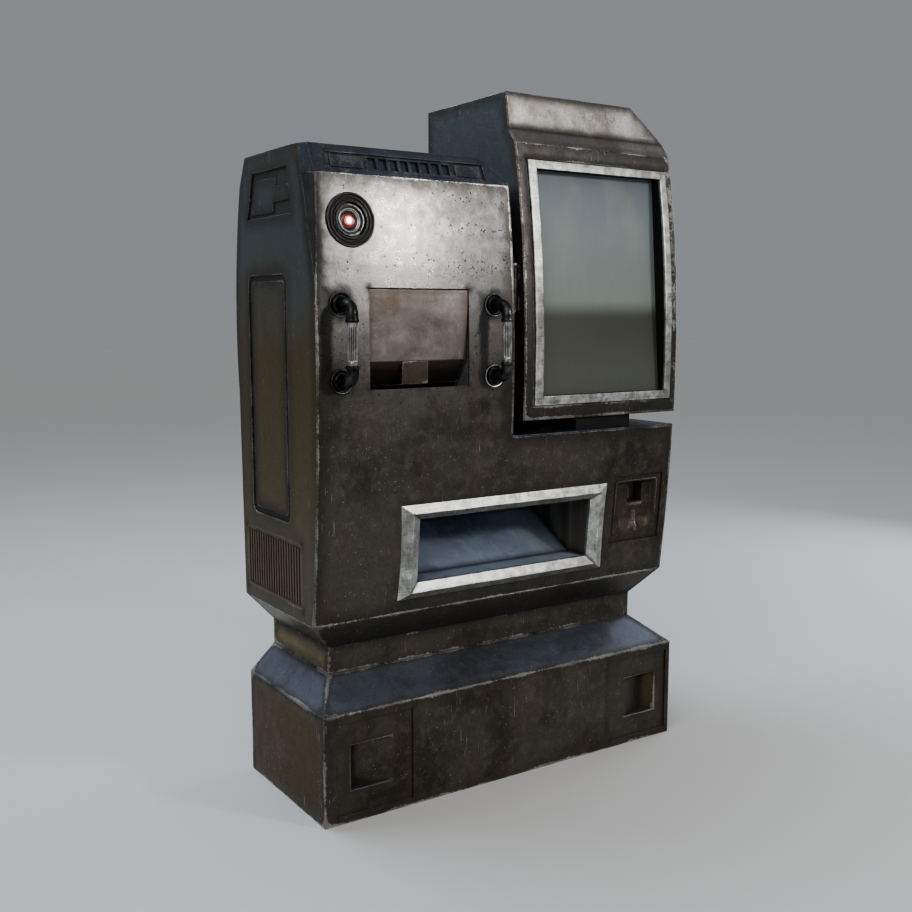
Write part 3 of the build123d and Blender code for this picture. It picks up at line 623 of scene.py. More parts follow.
lampLook = {
    "core": (1.0, 0.84, 0.78),
    "rim": (0.16, 0.005, 0.004),
    "coreRadius": 2.6,
    "rimRadius": 8.5,
    "strength": 7.0,
}


def glowingLamp(name, look):
    # a pale core that falls to red at the rim, by the distance from the lens axis
    material, principled, point = newMaterial(name)
    reach = remap(readAttribute(point, "radius"), look["coreRadius"], look["rimRadius"])
    grain = noise(point, 260, 3)
    colour = blendColour(reach, look["core"], look["rim"])
    colour = blendColour(times(grain, 0.2), colour, look["rim"])
    dress(principled, colour, remap(grain, 0.3, 0.7, 0.2, 0.35))
    feed(principled.inputs["Emission Color"], colour)
    principled.inputs["Emission Strength"].default_value = look["strength"]
    return material


def lensBlack(name):
    # black glass with a painted red glow near its middle, standing for the lamp's light caught in it
    material, principled, point = newMaterial(name)
    grain = noise(point, 90, 4)
    near = remap(readAttribute(point, "radius"), 17.0, 10.0)
    colour = blendColour(grain, (0.006, 0.005, 0.006), (0.02, 0.016, 0.018))
    dress(principled, colour, remap(grain, 0.3, 0.7, 0.08, 0.2))
    glow = blendColour(near, (0.0, 0.0, 0.0), (0.50, 0.03, 0.02))
    feed(principled.inputs["Emission Color"], glow)
    principled.inputs["Emission Strength"].default_value = 0.45
    principled.inputs["Coat Weight"].default_value = 1.0
    return material


glassLow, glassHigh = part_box("screen_glass")
# in these changes the blue, olive and cold tones, and the blue greys of roofSteel and ventSteel, are
# painted sky reflection and painted light; borderShade is painted shade
steels = {
    "frontSteel": dict(
        highlightPatchAmount=1.0, upperFrom=0.74, upperTo=1.22, wearWidth=3.6, borderWidth=40.0,
        borderShade=(0.050, 0.046, 0.042), borderAmount=0.85, pitShare=0.55),
    "plinthSteel": dict(
        wearWidth=6.2, wearAmount=0.85, speckShare=0.2, wearBias=0.02, olive=(0.062, 0.038, 0.001),
        bare=(0.45, 0.44, 0.42), blue=(0.165, 0.186, 0.226), blueAmount=0.95),
    "neckSteel": dict(wearWidth=7.0, wearAmount=0.72, speckShare=0.2, olive=(0.22, 0.155, 0.06)),
    "pocketSteel": dict(
        wearWidth=2.4, wearAmount=0.8, wearBias=0.6, mid=(0.084, 0.078, 0.066), dirtAndShadeWidth=12.0),
    "sideSteel": dict(wearWidth=2.6, wearAmount=0.65, borderAmount=0.3),
    "backSteel": dict(wearWidth=2.6, wearAmount=0.6),
    "roofSteel": dict(
        dark=(0.045, 0.056, 0.075), mid=(0.075, 0.094, 0.125), light=(0.13, 0.15, 0.18), rustAmount=0.1,
        wearWidth=1.8, wearAmount=0.6, borderAmount=0.15),
    "ventSteel": dict(
        dark=(0.030, 0.043, 0.068), mid=(0.055, 0.074, 0.112), light=(0.100, 0.124, 0.166), wearWidth=1.6,
        wearAmount=0.45, wearBias=0.2, dirtAndShadeWidth=9.0, borderAmount=0.1, rustAmount=0.15),
    "louvreSteel": dict(
        olive=(0.27, 0.185, 0.078), wearWidth=0.6, wearAmount=0.3, scratchAmount=0.3, borderAmount=0.0,
        dirtAndShadeWidth=5.0),
    "cardSteel": dict(
        wearWidth=1.6, wearAmount=0.7, dirtAndShadeWidth=18.0, borderAmount=0.3, mid=(0.052, 0.045, 0.036)),
    "mouthSteel": dict(
        wearWidth=2.2, wearAmount=0.5, wearBias=0.2, dirtAndShadeWidth=16.0, borderAmount=0.0, roughness=0.46,
        mid=(0.075, 0.062, 0.046), light=(0.15, 0.132, 0.104), blueAmount=0.0),
    "hoodSteel": dict(
        mid=(0.47, 0.462, 0.455), dark=(0.24, 0.23, 0.215), light=(0.58, 0.575, 0.57), rustAmount=0.3,
        wearWidth=3.0, blueAmount=0.12, borderAmount=0.6),
}

# dark tone, light tone, bare metal, roughness and the width of the rubbed rim
rubbedMetals = {
    "darkEnamel": ((0.020, 0.020, 0.021), (0.095, 0.094, 0.092), (0.22, 0.22, 0.21), 0.32, 1.0),
    "enamel": ((0.020, 0.020, 0.021), (0.10, 0.10, 0.10), (0.6, 0.6, 0.58), 0.3),
    "gripMetal": ((0.32, 0.32, 0.31), (0.60, 0.60, 0.59), (0.8, 0.8, 0.79), 0.3),
    "ringBlack": ((0.010, 0.010, 0.010), (0.046, 0.045, 0.042), (0.42, 0.42, 0.41), 0.34, 1.1),
    "chrome": ((0.60, 0.60, 0.62), (0.90, 0.90, 0.92), (0.95, 0.95, 0.95), 0.22),
}

# dark tone, light tone, metal, roughness, scale of the grain, bump and clear coat
simpleSkins = {
    "blackTrim": ((0.004, 0.004, 0.004), (0.012, 0.012, 0.012), 0.0, 0.6, 320, 0.25),
    "panelBlack": ((0.012, 0.013, 0.013), (0.03, 0.031, 0.03), 0.0, 0.2, 90, 0.05, 0.4),
    "rubber": ((0.014, 0.014, 0.014), (0.045, 0.044, 0.042), 0.0, 0.75, 400, 0.5),
    "zinc": ((0.30, 0.31, 0.33), (0.50, 0.51, 0.52), 0.85, 0.4, 60, 0.2),
    "casePlastic": ((0.05, 0.052, 0.058), (0.10, 0.105, 0.12), 0.0, 0.55, 350, 0.4),
}

skins = {
    **{name: wornSteel(name, **changes) for name, changes in steels.items()},
    **{name: rubbedMetal(name, *tones) for name, tones in rubbedMetals.items()},
    **{name: simpleSkin(name, *tones) for name, tones in simpleSkins.items()},
    "brightSteel": brightFrame("brightSteel", (0.22, 0.225, 0.21), (0.74, 0.75, 0.73)),
    "bluePaintAndSky": bluePaintAndSky("bluePaintAndSky", chuteLook),
    "lensGlass": lensBlack("lensGlass"),
    "lamp": glowingLamp("lamp", lampLook),
    "glass": paintedReflectionGlass("paintedReflectionGlass", glassLook, glassLow[2], glassHigh[2]),
}


flapLook = {
    "face": (0.222, 0.194, 0.172),
    "brown": (0.138, 0.103, 0.078),
    "pale": (0.37, 0.352, 0.335),
    # lip and lipEdge are painted shade below the crease
    "lip": (0.045, 0.034, 0.025),
    "lipEdge": (0.012, 0.009, 0.007),
    "creaseHeight": 0.988,
    "lipHeight": 0.94,
}


def stainedFlap(name, look, lipShadeAmount):
    # a pale rubbed face with brown stains, and painted shade on the lip, deepening from the crease to its
    # lower edge
    material, principled, point, cloud = newSkin(name)
    split = axes(point)
    wear = edgeMask(point, 1.4)
    lines = useGroup(scratches, Vector=point, Amount=0.4)["Mask"]
    stains = noise(point, 13, 5, 0.6, 0.6)
    colour = blendColour(remap(stains, 0.38, 0.72), look["face"], look["brown"])
    colour = blendColour(remap(noise(point, 8, 6, 0.68), 0.42, 0.72, 0.0, 0.8), colour, look["pale"])
    colour = blendColour(remap(cloud["Streak"], 0.52, 0.72, 0.0, 0.6), colour, look["brown"])
    rim = remap(readAttribute(point, "ridge"), 16.0, 2.0, 0.0, 0.55)
    colour = blendColour(rim, colour, look["brown"])
    # painted shade below the crease, deepening towards the lip's lower edge
    under = remap(split["Z"], look["creaseHeight"] + 0.0015, look["creaseHeight"] - 0.0015)
    deeper = remap(split["Z"], look["creaseHeight"], look["lipHeight"])
    lip = blendColour(deeper, look["lip"], look["lipEdge"])
    colour = blendColour(times(under, lipShadeAmount), colour, lip)
    colour = gritty(colour, cloud["Grit"], 0.35)
    colour = blendColour(larger(wear, lines), colour, (0.5, 0.48, 0.45))
    dress(principled, colour, scaled(cloud["Fine"], 0.36, 0.22), 0.75)
    bumpFrom(principled, plus(cloud["Fine"], times(cloud["Grit"], 0.4)), 0.45, 0.0012)
    return material


skins["flapSteel"] = stainedFlap("flapSteel", flapLook, 0.93)
tabTones = {"face": (0.12, 0.10, 0.08), "brown": (0.07, 0.052, 0.038), "pale": (0.19, 0.17, 0.15)}
skins["tabSteel"] = stainedFlap("tabSteel", {**flapLook, **tabTones}, 0.0)
print("materials are ready:", len(skins))


def mergedMesh(node):
    grid = bmesh.new()
    grid.from_mesh(nodes[node].data)
    bmesh.ops.remove_doubles(grid, verts=grid.verts, dist=2e-5)
    bmesh.ops.dissolve_limit(grid, angle_limit=math.radians(0.4), verts=grid.verts, edges=grid.edges)
    return grid


# a turn above foldAngle is an edge of the sheet; a rounded corner turns by less than roundedAngle at each
# step
foldAngle = math.radians(28)
roundedAngle = math.radians(34)


def sharpEdges(grid, angle):
    # an edge is sharp where its two faces turn by more than the angle; the sign says ridge or crease
    ridges, creases, edges = [], [], []
    for edge in grid.edges:
        if len(edge.link_faces) != 2:
            continue
        turn = edge.calc_face_angle_signed(0.0)
        if abs(turn) > angle:
            ends = [tuple(vert.co) for vert in edge.verts]
            (ridges if turn > 0 else creases).append(ends)
            edges.append(edge)
    return ridges, creases, edges


def distanceTo(points, segments, limit):
    # least distance from each point to a set of straight segments, with both ends included
    best = np.full(len(points), limit)
    for a, b in segments:
        a = np.array(a)
        along = np.array(b) - a
        length = max(along @ along, 1e-12)
        share = np.clip((points - a) @ along / length, 0, 1)
        gap = np.linalg.norm(points - (a + share[:, None] * along), axis=1)
        best = np.minimum(best, gap)
    return best


def latticeCut(grid, step):
    # planes every step along each axis give the flat faces enough points to carry the distances
    low = np.min([vert.co for vert in grid.verts], axis=0)
    high = np.max([vert.co for vert in grid.verts], axis=0)
    for axis in range(3):
        normal = [0, 0, 0]
        normal[axis] = 1
        first = math.ceil(low[axis] / step) * step
        for place in np.arange(first, high[axis], step):
            at = [0, 0, 0]
            at[axis] = place
            geometry = [*grid.verts, *grid.edges, *grid.faces]
            bmesh.ops.bisect_plane(grid, geom=geometry, dist=1e-6, plane_co=at, plane_no=normal)


ridgesOf = {}


def outlineOf(node):
    if node not in ridgesOf:
        grid = mergedMesh(node)
        ridgesOf[node] = sharpEdges(grid, foldAngle)[:2]
        grid.free()
    return ridgesOf[node]


def wideEdges(grid, edges, least):
    # the outer corners between two broad faces, which take a larger rounding than the sheet's own edges
    chosen = []
    for edge in edges:
        if edge.calc_face_angle_signed(0.0) <= 0 or edge.calc_length() < least:
            continue
        a, b = (np.array(vert.co) for vert in edge.verts)
        along = (b - a) / np.linalg.norm(b - a)
        spans = []
        for face in edge.link_faces:
            corners = np.array([vert.co for vert in face.verts]) - a
            spans.append(np.linalg.norm(corners - (corners @ along)[:, None] * along, axis=1).max())
        if min(spans) > least:
            chosen.append(edge)
    return chosen


def roundOver(grid, edges, radius, segments):
    bmesh.ops.bevel(grid, geom=edges, offset=radius * milli, offset_type="OFFSET", segments=segments,
                    profile=0.5, affect="EDGES", clamp_overlap=True)


def finishPiece(piece, skin, body, replaced=()):
    bpy.context.scene.collection.objects.link(piece)
    piece.data.materials.append(skins[skin])
    if replaced:
        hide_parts(*replaced)
    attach(piece, body)
    return piece


def setPointValues(mesh, name, values):
    attribute = mesh.attributes.new(name, "FLOAT", "POINT")
    attribute.data.foreach_set("value", np.asarray(values, dtype=np.float32).ravel())


def outsideBoxes(lines, others, margin):
    # leaves out the lines whose middle lies within the outline of another node, seen from the front
    kept = []
    for line in lines:
        middle = (np.array(line[0]) + np.array(line[1])) / 2
        hidden = False
        for other in others:
            low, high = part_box(other)
            hidden = hidden or all(low[i] - margin < middle[i] < high[i] + margin for i in (0, 2))
        if not hidden:
            kept.append(line)
    return kept


def panelPiece(node, skin, radius=1.2, corner=0.0, step=22.0, seams=(), calm=(), reach=60.0):
    grid = mergedMesh(node)
    ridges, creases, edges = sharpEdges(grid, foldAngle)
    ridgesOf[node] = (ridges, creases)
    # creases and the outlines of the seams' nodes give the crease distance, which darkens with dirt and
    # painted shade
    seamEdges = list(creases)
    for other in seams:
        seamEdges += outlineOf(other)[0]
    if corner:
        roundOver(grid, wideEdges(grid, edges, 0.012), corner, 3)
        edges = sharpEdges(grid, roundedAngle)[2]
    if radius:
        roundOver(grid, edges, radius, 2)
    latticeCut(grid, step * milli)
    bmesh.ops.triangulate(grid, faces=[face for face in grid.faces if len(face.verts) > 4])
    mesh = bpy.data.meshes.new(node + "Shape")
    grid.to_mesh(mesh)
    grid.free()
    points = np.empty(len(mesh.vertices) * 3)
    mesh.vertices.foreach_get("co", points)
    points = points.reshape(-1, 3)
    worn = outsideBoxes(ridges, calm, 0.012)
    setPointValues(mesh, "ridge", distanceTo(points, worn, reach * milli) / milli)
    setPointValues(mesh, "crease", distanceTo(points, seamEdges, reach * milli) / milli)
    mesh.shade_smooth()
    mesh.set_sharp_from_angle(angle=math.radians(35))
    piece = bpy.data.objects.new(node + "Piece", mesh)
    smooth = piece.modifiers.new("evenNormals", "WEIGHTED_NORMAL")
    smooth.keep_sharp = True
    return finishPiece(piece, skin, bodyOfNode[node], [node])


handleSeams = ["left_handle_brackets", "right_handle_brackets"]
panels = {
    "plinth_skirt": dict(skin="plinthSteel", radius=1.2, corner=4.0,
                         seams=["neck_collar", "plinth_pocket_left", "plinth_pocket_right"],
                         calm=["plinth_pocket_left", "plinth_pocket_right"]),
    "plinth_pocket_left": dict(skin="pocketSteel", radius=0.8, seams=["plinth_skirt"]),
    "plinth_pocket_right": dict(skin="pocketSteel", radius=0.8, seams=["plinth_skirt"]),
    "neck_collar": dict(skin="neckSteel", radius=1.4, corner=3.0),
    "front_fascia": dict(skin="frontSteel", radius=1.6, seams=["tray_bezel", *handleSeams],
                         calm=["deposit_flap", "card_surround", "camera_housing", "tray_bezel"]),
    "left_side_cover": dict(skin="sideSteel", radius=1.4),
    "right_side_cover": dict(skin="sideSteel", radius=1.4),
    "tower_right_wall": dict(skin="sideSteel", radius=1.4),
    "tower_roof": dict(skin="roofSteel", radius=1.4),
    "lower_deck": dict(skin="roofSteel", radius=1.2),
    "rear_frame": dict(skin="backSteel", radius=1.2),
    "left_upper_plate": dict(skin="sideSteel", radius=0.6, seams=["left_side_cover"]),
    "left_tall_panel": dict(skin="sideSteel", radius=0.6, seams=["left_side_cover"]),
    "left_louvre": dict(skin="louvreSteel", radius=0.4),
    "roof_vent": dict(skin="ventSteel", radius=0.5, seams=["tower_roof"]),
    "deposit_flap": dict(skin="flapSteel", radius=0.6),
    "deposit_tab": dict(skin="tabSteel", radius=0.6),
    "tray_bezel": dict(skin="brightSteel", radius=1.0, step=15),
    "tray_chute": dict(skin="bluePaintAndSky", radius=0.8),
    "card_surround": dict(skin="cardSteel", radius=0.6, seams=["front_fascia"], step=12),
    "screen_left_side": dict(skin="sideSteel", radius=1.4),
    "screen_right_side": dict(skin="sideSteel", radius=1.4),
    "screen_wrap": dict(skin="backSteel", radius=1.2),
    "screen_front": dict(skin="frontSteel", radius=1.2, seams=["screen_bezel"]),
    "screen_hood": dict(skin="hoodSteel", radius=1.2, corner=3.0),
    "screen_bezel": dict(skin="brightSteel", radius=1.6, step=15),
    "rear_door": dict(skin="backSteel", radius=1.2),
    "tower_hinge_leaf": dict(skin="enamel", radius=0.5),
    "screen_hinge_leaf": dict(skin="enamel", radius=0.5),
    "door_lever": dict(skin="enamel", radius=0.8),
}
for node, settings in panels.items():
    panelPiece(node, **settings)
print("panels are rounded:", len(panels))


# a distance in mm from any ridge or crease at which neither wear nor dirt and painted shade show
far = 40.0

# the fascia is a barrel in mm, rounder above its foremost level than below it
barrel = {
    "level": 1000,
    "upperRadius": 2535,
    "lowerRadius": 4347,
    "foremost": 6,
    "frontShift": 192,
    "cameraRise": 277,
}


def barrelDepth(level):
    # depth of the barrel's face at a height: the sagitta of the arc behind its foremost line
    radius = np.where(level > barrel["level"], barrel["upperRadius"], barrel["lowerRadius"])
    sagitta = barrel["foremost"] + radius - np.sqrt(radius ** 2 - (level - barrel["level"]) ** 2)
    return sagitta - barrel["frontShift"]


def padded(rows):
    # a row may leave out its crease distance, or both distances, where these are far
    return np.array([(*row, *(far,) * (4 - len(row))) for row in rows], dtype=float)


def gridMesh(name, points):
    # rows of points round a ring become quads between each row and the next; a row of radius nought is a
    # pole
    rows, columns = points.shape[:2]
    index = np.arange(rows * columns).reshape(rows, columns)
    nextColumn = np.roll(index, -1, axis=1)
    quads = np.stack([index[:-1], nextColumn[:-1], nextColumn[1:], index[1:]], axis=-1).reshape(-1, 4)
    mesh = bpy.data.meshes.new(name)
    mesh.from_pydata(points.reshape(-1, 3).tolist(), [], quads.tolist())
    return mesh


def settle(mesh):
    # poles and seams are merged, and the faces are turned to point outwards
    grid = bmesh.new()
    grid.from_mesh(mesh)
    bmesh.ops.remove_doubles(grid, verts=grid.verts, dist=2e-6)
    bmesh.ops.recalc_face_normals(grid, faces=grid.faces)
    grid.to_mesh(mesh)
    grid.free()
    mesh.shade_smooth()
    mesh.set_sharp_from_angle(angle=math.radians(38))


def lathePiece(name, profile, place, turn, skin, body, replaced, ripple=0.0, ripples=0, columns=96):
    # each profile point (radius, depth, ridge distance, crease distance) is carried round the axis; the
    # ripple adds a small cosine to the radius where the ridge distance is nought
    radius, depth, ridge, crease = padded(profile).T
    angle = np.linspace(0, 2 * math.pi, columns, endpoint=False)
    wave = ripple * np.cos(ripples * angle)[None, :] * (ridge == 0)[:, None]
    reach = (radius[:, None] + wave * (radius[:, None] > 0)) * milli
    local = np.stack([reach * np.cos(angle), np.broadcast_to(depth[:, None] * milli, reach.shape),
                      reach * np.sin(angle)], axis=-1)
    c, s = math.cos(turn), math.sin(turn)
    x, y, z = local[..., 0], local[..., 1], local[..., 2]
    points = np.stack([x + place[0], y * c - z * s + place[1], y * s + z * c + place[2]], axis=-1)
    mesh = gridMesh(name + "Shape", points)
    setPointValues(mesh, "ridge", np.repeat(ridge, columns))
    setPointValues(mesh, "crease", np.repeat(crease, columns))
    setPointValues(mesh, "radius", np.repeat(radius, columns))
    settle(mesh)
    return finishPiece(bpy.data.objects.new(name, mesh), skin, body, replaced)


# the camera stands square to the barrel, and its profiles start a little in front of the lamp's middle
cameraTilt = -math.atan2(barrel["cameraRise"], barrel["upperRadius"])
lampMiddle = np.mean(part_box("camera_lamp"), axis=0)
lampDepth = 7.25
outward = np.array([0, -math.cos(cameraTilt), -math.sin(cameraTilt)])
cameraPlace = lampMiddle + outward * lampDepth * milli


mouthLook = {
    "cornerRadius": 12.0,
    "lipWidth": 5.0,
    "lipDepth": 1.5,
    "lipRise": 1.1,
    "lipMiddle": 2.5,
    "bowlDepth": 13.5,
    "bowlSlope": 9.0,
    "softSlope": 21.6,
    "footSlope": 44.0,
    "footHeights": (20.0, 70.0),
    "wellDepth": 58.0,
    "backDepth": 60.0,
    # left, right, bottom and top of the slot
    "well": (373.0, 420.0, 619.0, 671.0),
    "wellSeam": 0.02,
    # bottom, top and rise of the wedge
    "ledge": (596.0, 617.0, 8.5),
    # middle, half width, bottom, top and rise of the rib, and how much it widens at its foot
    "rib": (396.5, 8.5, 552.0, 604.0, 7.0),
    "ribFlare": 16.0,
    "columns": 60,
    "rows": 64,
    "edgeRows": (0.4, 1, 2, 3.5, 5, 6),
    "sharpTurn": math.radians(50),
}


def smoothStep(value, low, high):
    share = np.clip((value - low) / (high - low), 0, 1)
    return share * share * (3 - 2 * share)


def ruled(look, low, high, count, seams):
    # even places from low to high, with closer ones at both ends and one on each side of a seam
    ends = np.array(look["edgeRows"])
    return np.sort(np.concatenate([np.linspace(low, high, count), seams, low + ends, high - ends]))


def mouthDepth(look, x, z, edge, side, foot):
    # depth behind the barrel: a rolled lip, a bowl with steep sides above and a long slope at its foot,
    # less a wedge under the slot and a rounded rib, and a straight well for the slot
    left, right, bottom, top = look["well"]
    lip, middle = look["lipWidth"], look["lipMiddle"]
    roll = 1 - np.sqrt(np.clip(1 - ((edge - middle) / middle) ** 2, 0, 1))
    depth = look["lipDepth"] + look["lipRise"] * roll * (edge < middle)
    low = smoothStep(foot, *look["footHeights"])
    wall = smoothStep(side, lip, lip + look["bowlSlope"]) * low
    wall = wall + smoothStep(side, lip, lip + look["softSlope"]) * (1 - low)
    bowl = look["bowlDepth"] - look["lipDepth"]
    depth = depth + bowl * wall * smoothStep(foot, lip, lip + look["footSlope"])
    aside, half = np.abs(x - (left + right) / 2), (right - left) / 2
    ledgeLow, ledgeHigh, ledgeRise = look["ledge"]
    wedge = smoothStep(z, ledgeLow - 6, ledgeHigh) * (z < ledgeHigh + 0.5) * ledgeRise
    wedge = wedge * smoothStep(aside, half + 2.5, half - 3.5)
    ribMiddle, ribHalf, ribLow, _, ribRise = look["rib"]
    width = ribHalf + look["ribFlare"] * smoothStep(z, ribLow + 14, ribLow - 6)
    rib = ribRise * (1 - smoothStep(np.abs(x - ribMiddle), width * 0.25, width))
    rib = rib * smoothStep(z, ribLow - 12, ribLow + 6)
    depth = depth - np.maximum(wedge, rib * (z < ledgeHigh))
    inWell = (x > left) & (x < right) & (z > bottom) & (z < top)
    return np.where(inWell, look["wellDepth"], depth), inWell


def mouthLines(look, x, z, edge, inWell):
    # bright lines of wear and painted highlight run along the lip, brighter on its upper part, under the
    # slot and down the rib; dirt and painted shade lie inside the lip, and the well is darkened as painted
    # shade
    left, right = look["well"][:2]
    ledgeLow, ledgeHigh, _ = look["ledge"]
    ribMiddle, _, ribLow, _, _ = look["rib"]
    lipLine = np.abs(edge - 2.0) * 1.6 + 8 * smoothStep(z, 600, 540) * (edge < 8)
    underSlot = np.abs(x - (left + right) / 2) < (right - left) / 2
    ledgeLine = np.where(underSlot, np.abs(z - ledgeHigh + 4) * 0.4, far)
    ribLine = 0.3 + np.abs(x - ribMiddle) * 0.2 + 30 * (z > ledgeLow) + 30 * (z < ribLow - 10)
    ridge = np.minimum(np.minimum(np.minimum(lipLine, ledgeLine), far), ribLine)
    crease = np.minimum(np.abs(edge - 9) * 1.2 + 2 + 20 * smoothStep(z, 560, 545), far)
    return ridge, np.where(inWell, 0.5, crease)


def mouthPiece(look):
    # rows of points that narrow at the rounded corners lie on the pressed sheet; its rim goes straight
    # back, and a bridge joins it to the rim of the well
    low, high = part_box("card_mouth")
    x0, x1, z0, z1 = (np.array([low[0], high[0], low[2], high[2]]) / milli)
    left, right, bottom, top = look["well"]
    seam = look["wellSeam"]
    middle, half = (x0 + x1) / 2, (x1 - x0) / 2
    across = ruled(look, x0, x1, look["columns"], [left - seam, left + seam, right - seam, right + seam])
    up = ruled(look, z0, z1, look["rows"],
               [bottom - seam, bottom + seam, top - seam, top + seam, look["ledge"][1] + 0.1])
    share = (across - middle) / half
    corner = look["cornerRadius"]
    inset = np.clip(corner - np.minimum(up - z0, z1 - up), 0, corner)
    narrow = (corner - np.sqrt(corner ** 2 - inset ** 2))[:, None]
    pull = np.clip(np.abs(share) * 3 - 2, 0, 1) / np.maximum(np.abs(share), 0.6)
    x = middle + share * (half - narrow * pull)
    z = np.broadcast_to(up[:, None], x.shape)
    edgeX = half - narrow - np.abs(x - middle)
    edge = np.clip(np.minimum(edgeX, np.minimum(z - z0, z1 - z)), 0, None)
    depth, inWell = mouthDepth(look, x, z, edge, np.minimum(edgeX, z1 - z), z - z0)
    points = np.stack([x, barrelDepth(z) + depth, z], axis=-1) * milli
    index = np.arange(x.size).reshape(x.shape)
    here, after = slice(None, -1), slice(1, None)
    corners = ((here, here), (here, after), (after, after), (after, here))
    quads = np.stack([index[place] for place in corners], axis=-1)
    wellFace = np.all([inWell[place] for place in corners], axis=0)
    mesh = bpy.data.meshes.new("cardMouthShape")
    mesh.from_pydata(points.reshape(-1, 3).tolist(), [], quads[~wellFace].tolist())
    for name, values in zip(("ridge", "crease"), mouthLines(look, x, z, edge, inWell)):
        setPointValues(mesh, name, values)
    grid = bmesh.new()
    grid.from_mesh(mesh)
    bmesh.ops.delete(grid, geom=[vert for vert in grid.verts if not vert.link_faces], context="VERTS")
    back = (look["backDepth"] - barrel["frontShift"]) * milli
    rim = [edge for edge in grid.edges if edge.is_boundary and max(vert.co.y for vert in edge.verts) < back]
    made = bmesh.ops.extrude_edge_only(grid, edges=rim)["geom"]
    for vert in made:
        if isinstance(vert, bmesh.types.BMVert):
            vert.co.y = back
    bmesh.ops.bridge_loops(grid, edges=[edge for edge in grid.edges if edge.is_boundary])
    bmesh.ops.recalc_face_normals(grid, faces=grid.faces)
    grid.to_mesh(mesh)
    grid.free()
    mesh.shade_smooth()
    mesh.set_sharp_from_angle(angle=look["sharpTurn"])
    piece = bpy.data.objects.new("cardMouthPiece", mesh)
    return finishPiece(piece, "mouthSteel", bodyOfNode["card_mouth"], ["card_mouth", "card_guide"])


mouthPiece(mouthLook)
print("card mouth is pressed")

# each row is a radius, a depth, a ridge distance and a crease distance
cameraProfiles = {
    "cameraHousingPiece": dict(skin="ringBlack", replaced=["camera_housing"], profile=[
        (0, 34), (38.5, 34), (39.5, 33), (39.5, 0.2), (55.4, 0.2),
        (56, -0.4), (56, -2.0, 0.6), (55.2, -2.8, 0), (54, -3.0, 0.5), (51, -3.0, 3),
        (50.4, -2.6, 3, 1), (49.8, -1.3, far, 0), (48.2, -1.3, far, 0), (47.6, -2.4, 1, 1), (47, -2.8, 0.4),
        (44, -2.8, 3), (43.4, -2.4, 3, 1), (42.9, -1.1, far, 0), (41.4, -1.1, far, 0), (40.9, -2.0, 1, 1),
        (40.3, -2.4, 0.4), (37.2, -2.2, 1), (36.4, -1.4, 0.8), (36, 3.6, far, 0), (35.5, 4, far, 0),
        (33.3, 4, far, 0), (33, 1.6, 2), (32.4, 1, 0.3), (29.6, 1, 0.3), (29, 1.6, 2),
        (29, 4, far, 0), (26.5, 4, far, 1), (26, 4.6, far, 1), (26, 12, far, 0), (0, 12, far, 0)]),
    "cameraRingPiece": dict(skin="chrome", replaced=["camera_chrome_ring"], ripple=0.3, ripples=44,
                            profile=[
        (19.5, 12), (25.5, 12), (25.5, 4.4, far, 0.5), (25.1, 3.0, 3, 2), (24.3, 2.3, 0),
        (23.4, 2.05, 0), (22.6, 2.5, 3, 2), (22.2, 3.6, far, 0.3), (21.4, 4.6, far, 0.3), (20.6, 5.0, 3, 2),
        (19.9, 5.6, far, 1), (19.5, 6.6, far, 0.5), (19.5, 12)]),
    "cameraLensPiece": dict(skin="lensGlass", replaced=["camera_lens"], profile=[
        (10.4, 9), (10.4, 11.6), (18.9, 11.6), (18.9, 10.6),
        (17.4, 8.9), (15.4, 7.4), (13.0, 6.1), (10.8, 5.3), (10.4, 5.4),
        (10.4, 9)]),
    "cameraLampPiece": dict(skin="lamp", replaced=["camera_lamp"], profile=[
        (0, 9), (9.6, 9), (10, 8.6), (9.9, 6.4), (8.8, 5.7),
        (6.5, 5.2), (4.0, 4.9), (2.0, 4.8), (0, 4.75)]),
}
for name, settings in cameraProfiles.items():
    lathePiece(name, place=cameraPlace, turn=cameraTilt, body=bodyOfNode["camera_housing"], **settings)


handleLook = {
    "gripRadius": 10.4,
    "fluteDepth": 1.5,
    "flutes": 14,
    "tubeRadius": 12.5,
    "bendSwell": 0.5,
    "bendRadius": 24.0,
    "bendSteps": 14,
    "bendColumns": 48,
    "footInset": 26.0,
    # distance out from the face, radius, ridge distance, crease distance
    "foot": [
        (-1.5, 0), (-1.5, 25.6), (2.2, 26, 2), (3.6, 25.4, 0), (4.2, 24.2, 0), (3.9, 22.8, 0.4),
        (2.6, 21.6, 3, 2), (1.7, 20, far, 0), (1.7, 17.4, far, 0), (2.4, 15.6, far, 1),
        (4.6, 13.9, far, 3), (8.0, 12.9), (14.0, 12.5),
    ],
    # distance back from the grip's end, radius, ridge distance, crease distance
    "sleeve": [(9.0, 12.5), (7.4, 12.6, far, 1), (7.0, 13.6, 1, 3), (6.2, 14, 0.6), (1.2, 14, 0.6),
               (0.3, 13.6, 0.4), (0.0, 12.2, far, 2), (0.0, 10.4, far, 0), (0.0, 0)],
    "endSkin": {"left": "darkEnamel", "right": "enamel"},
}


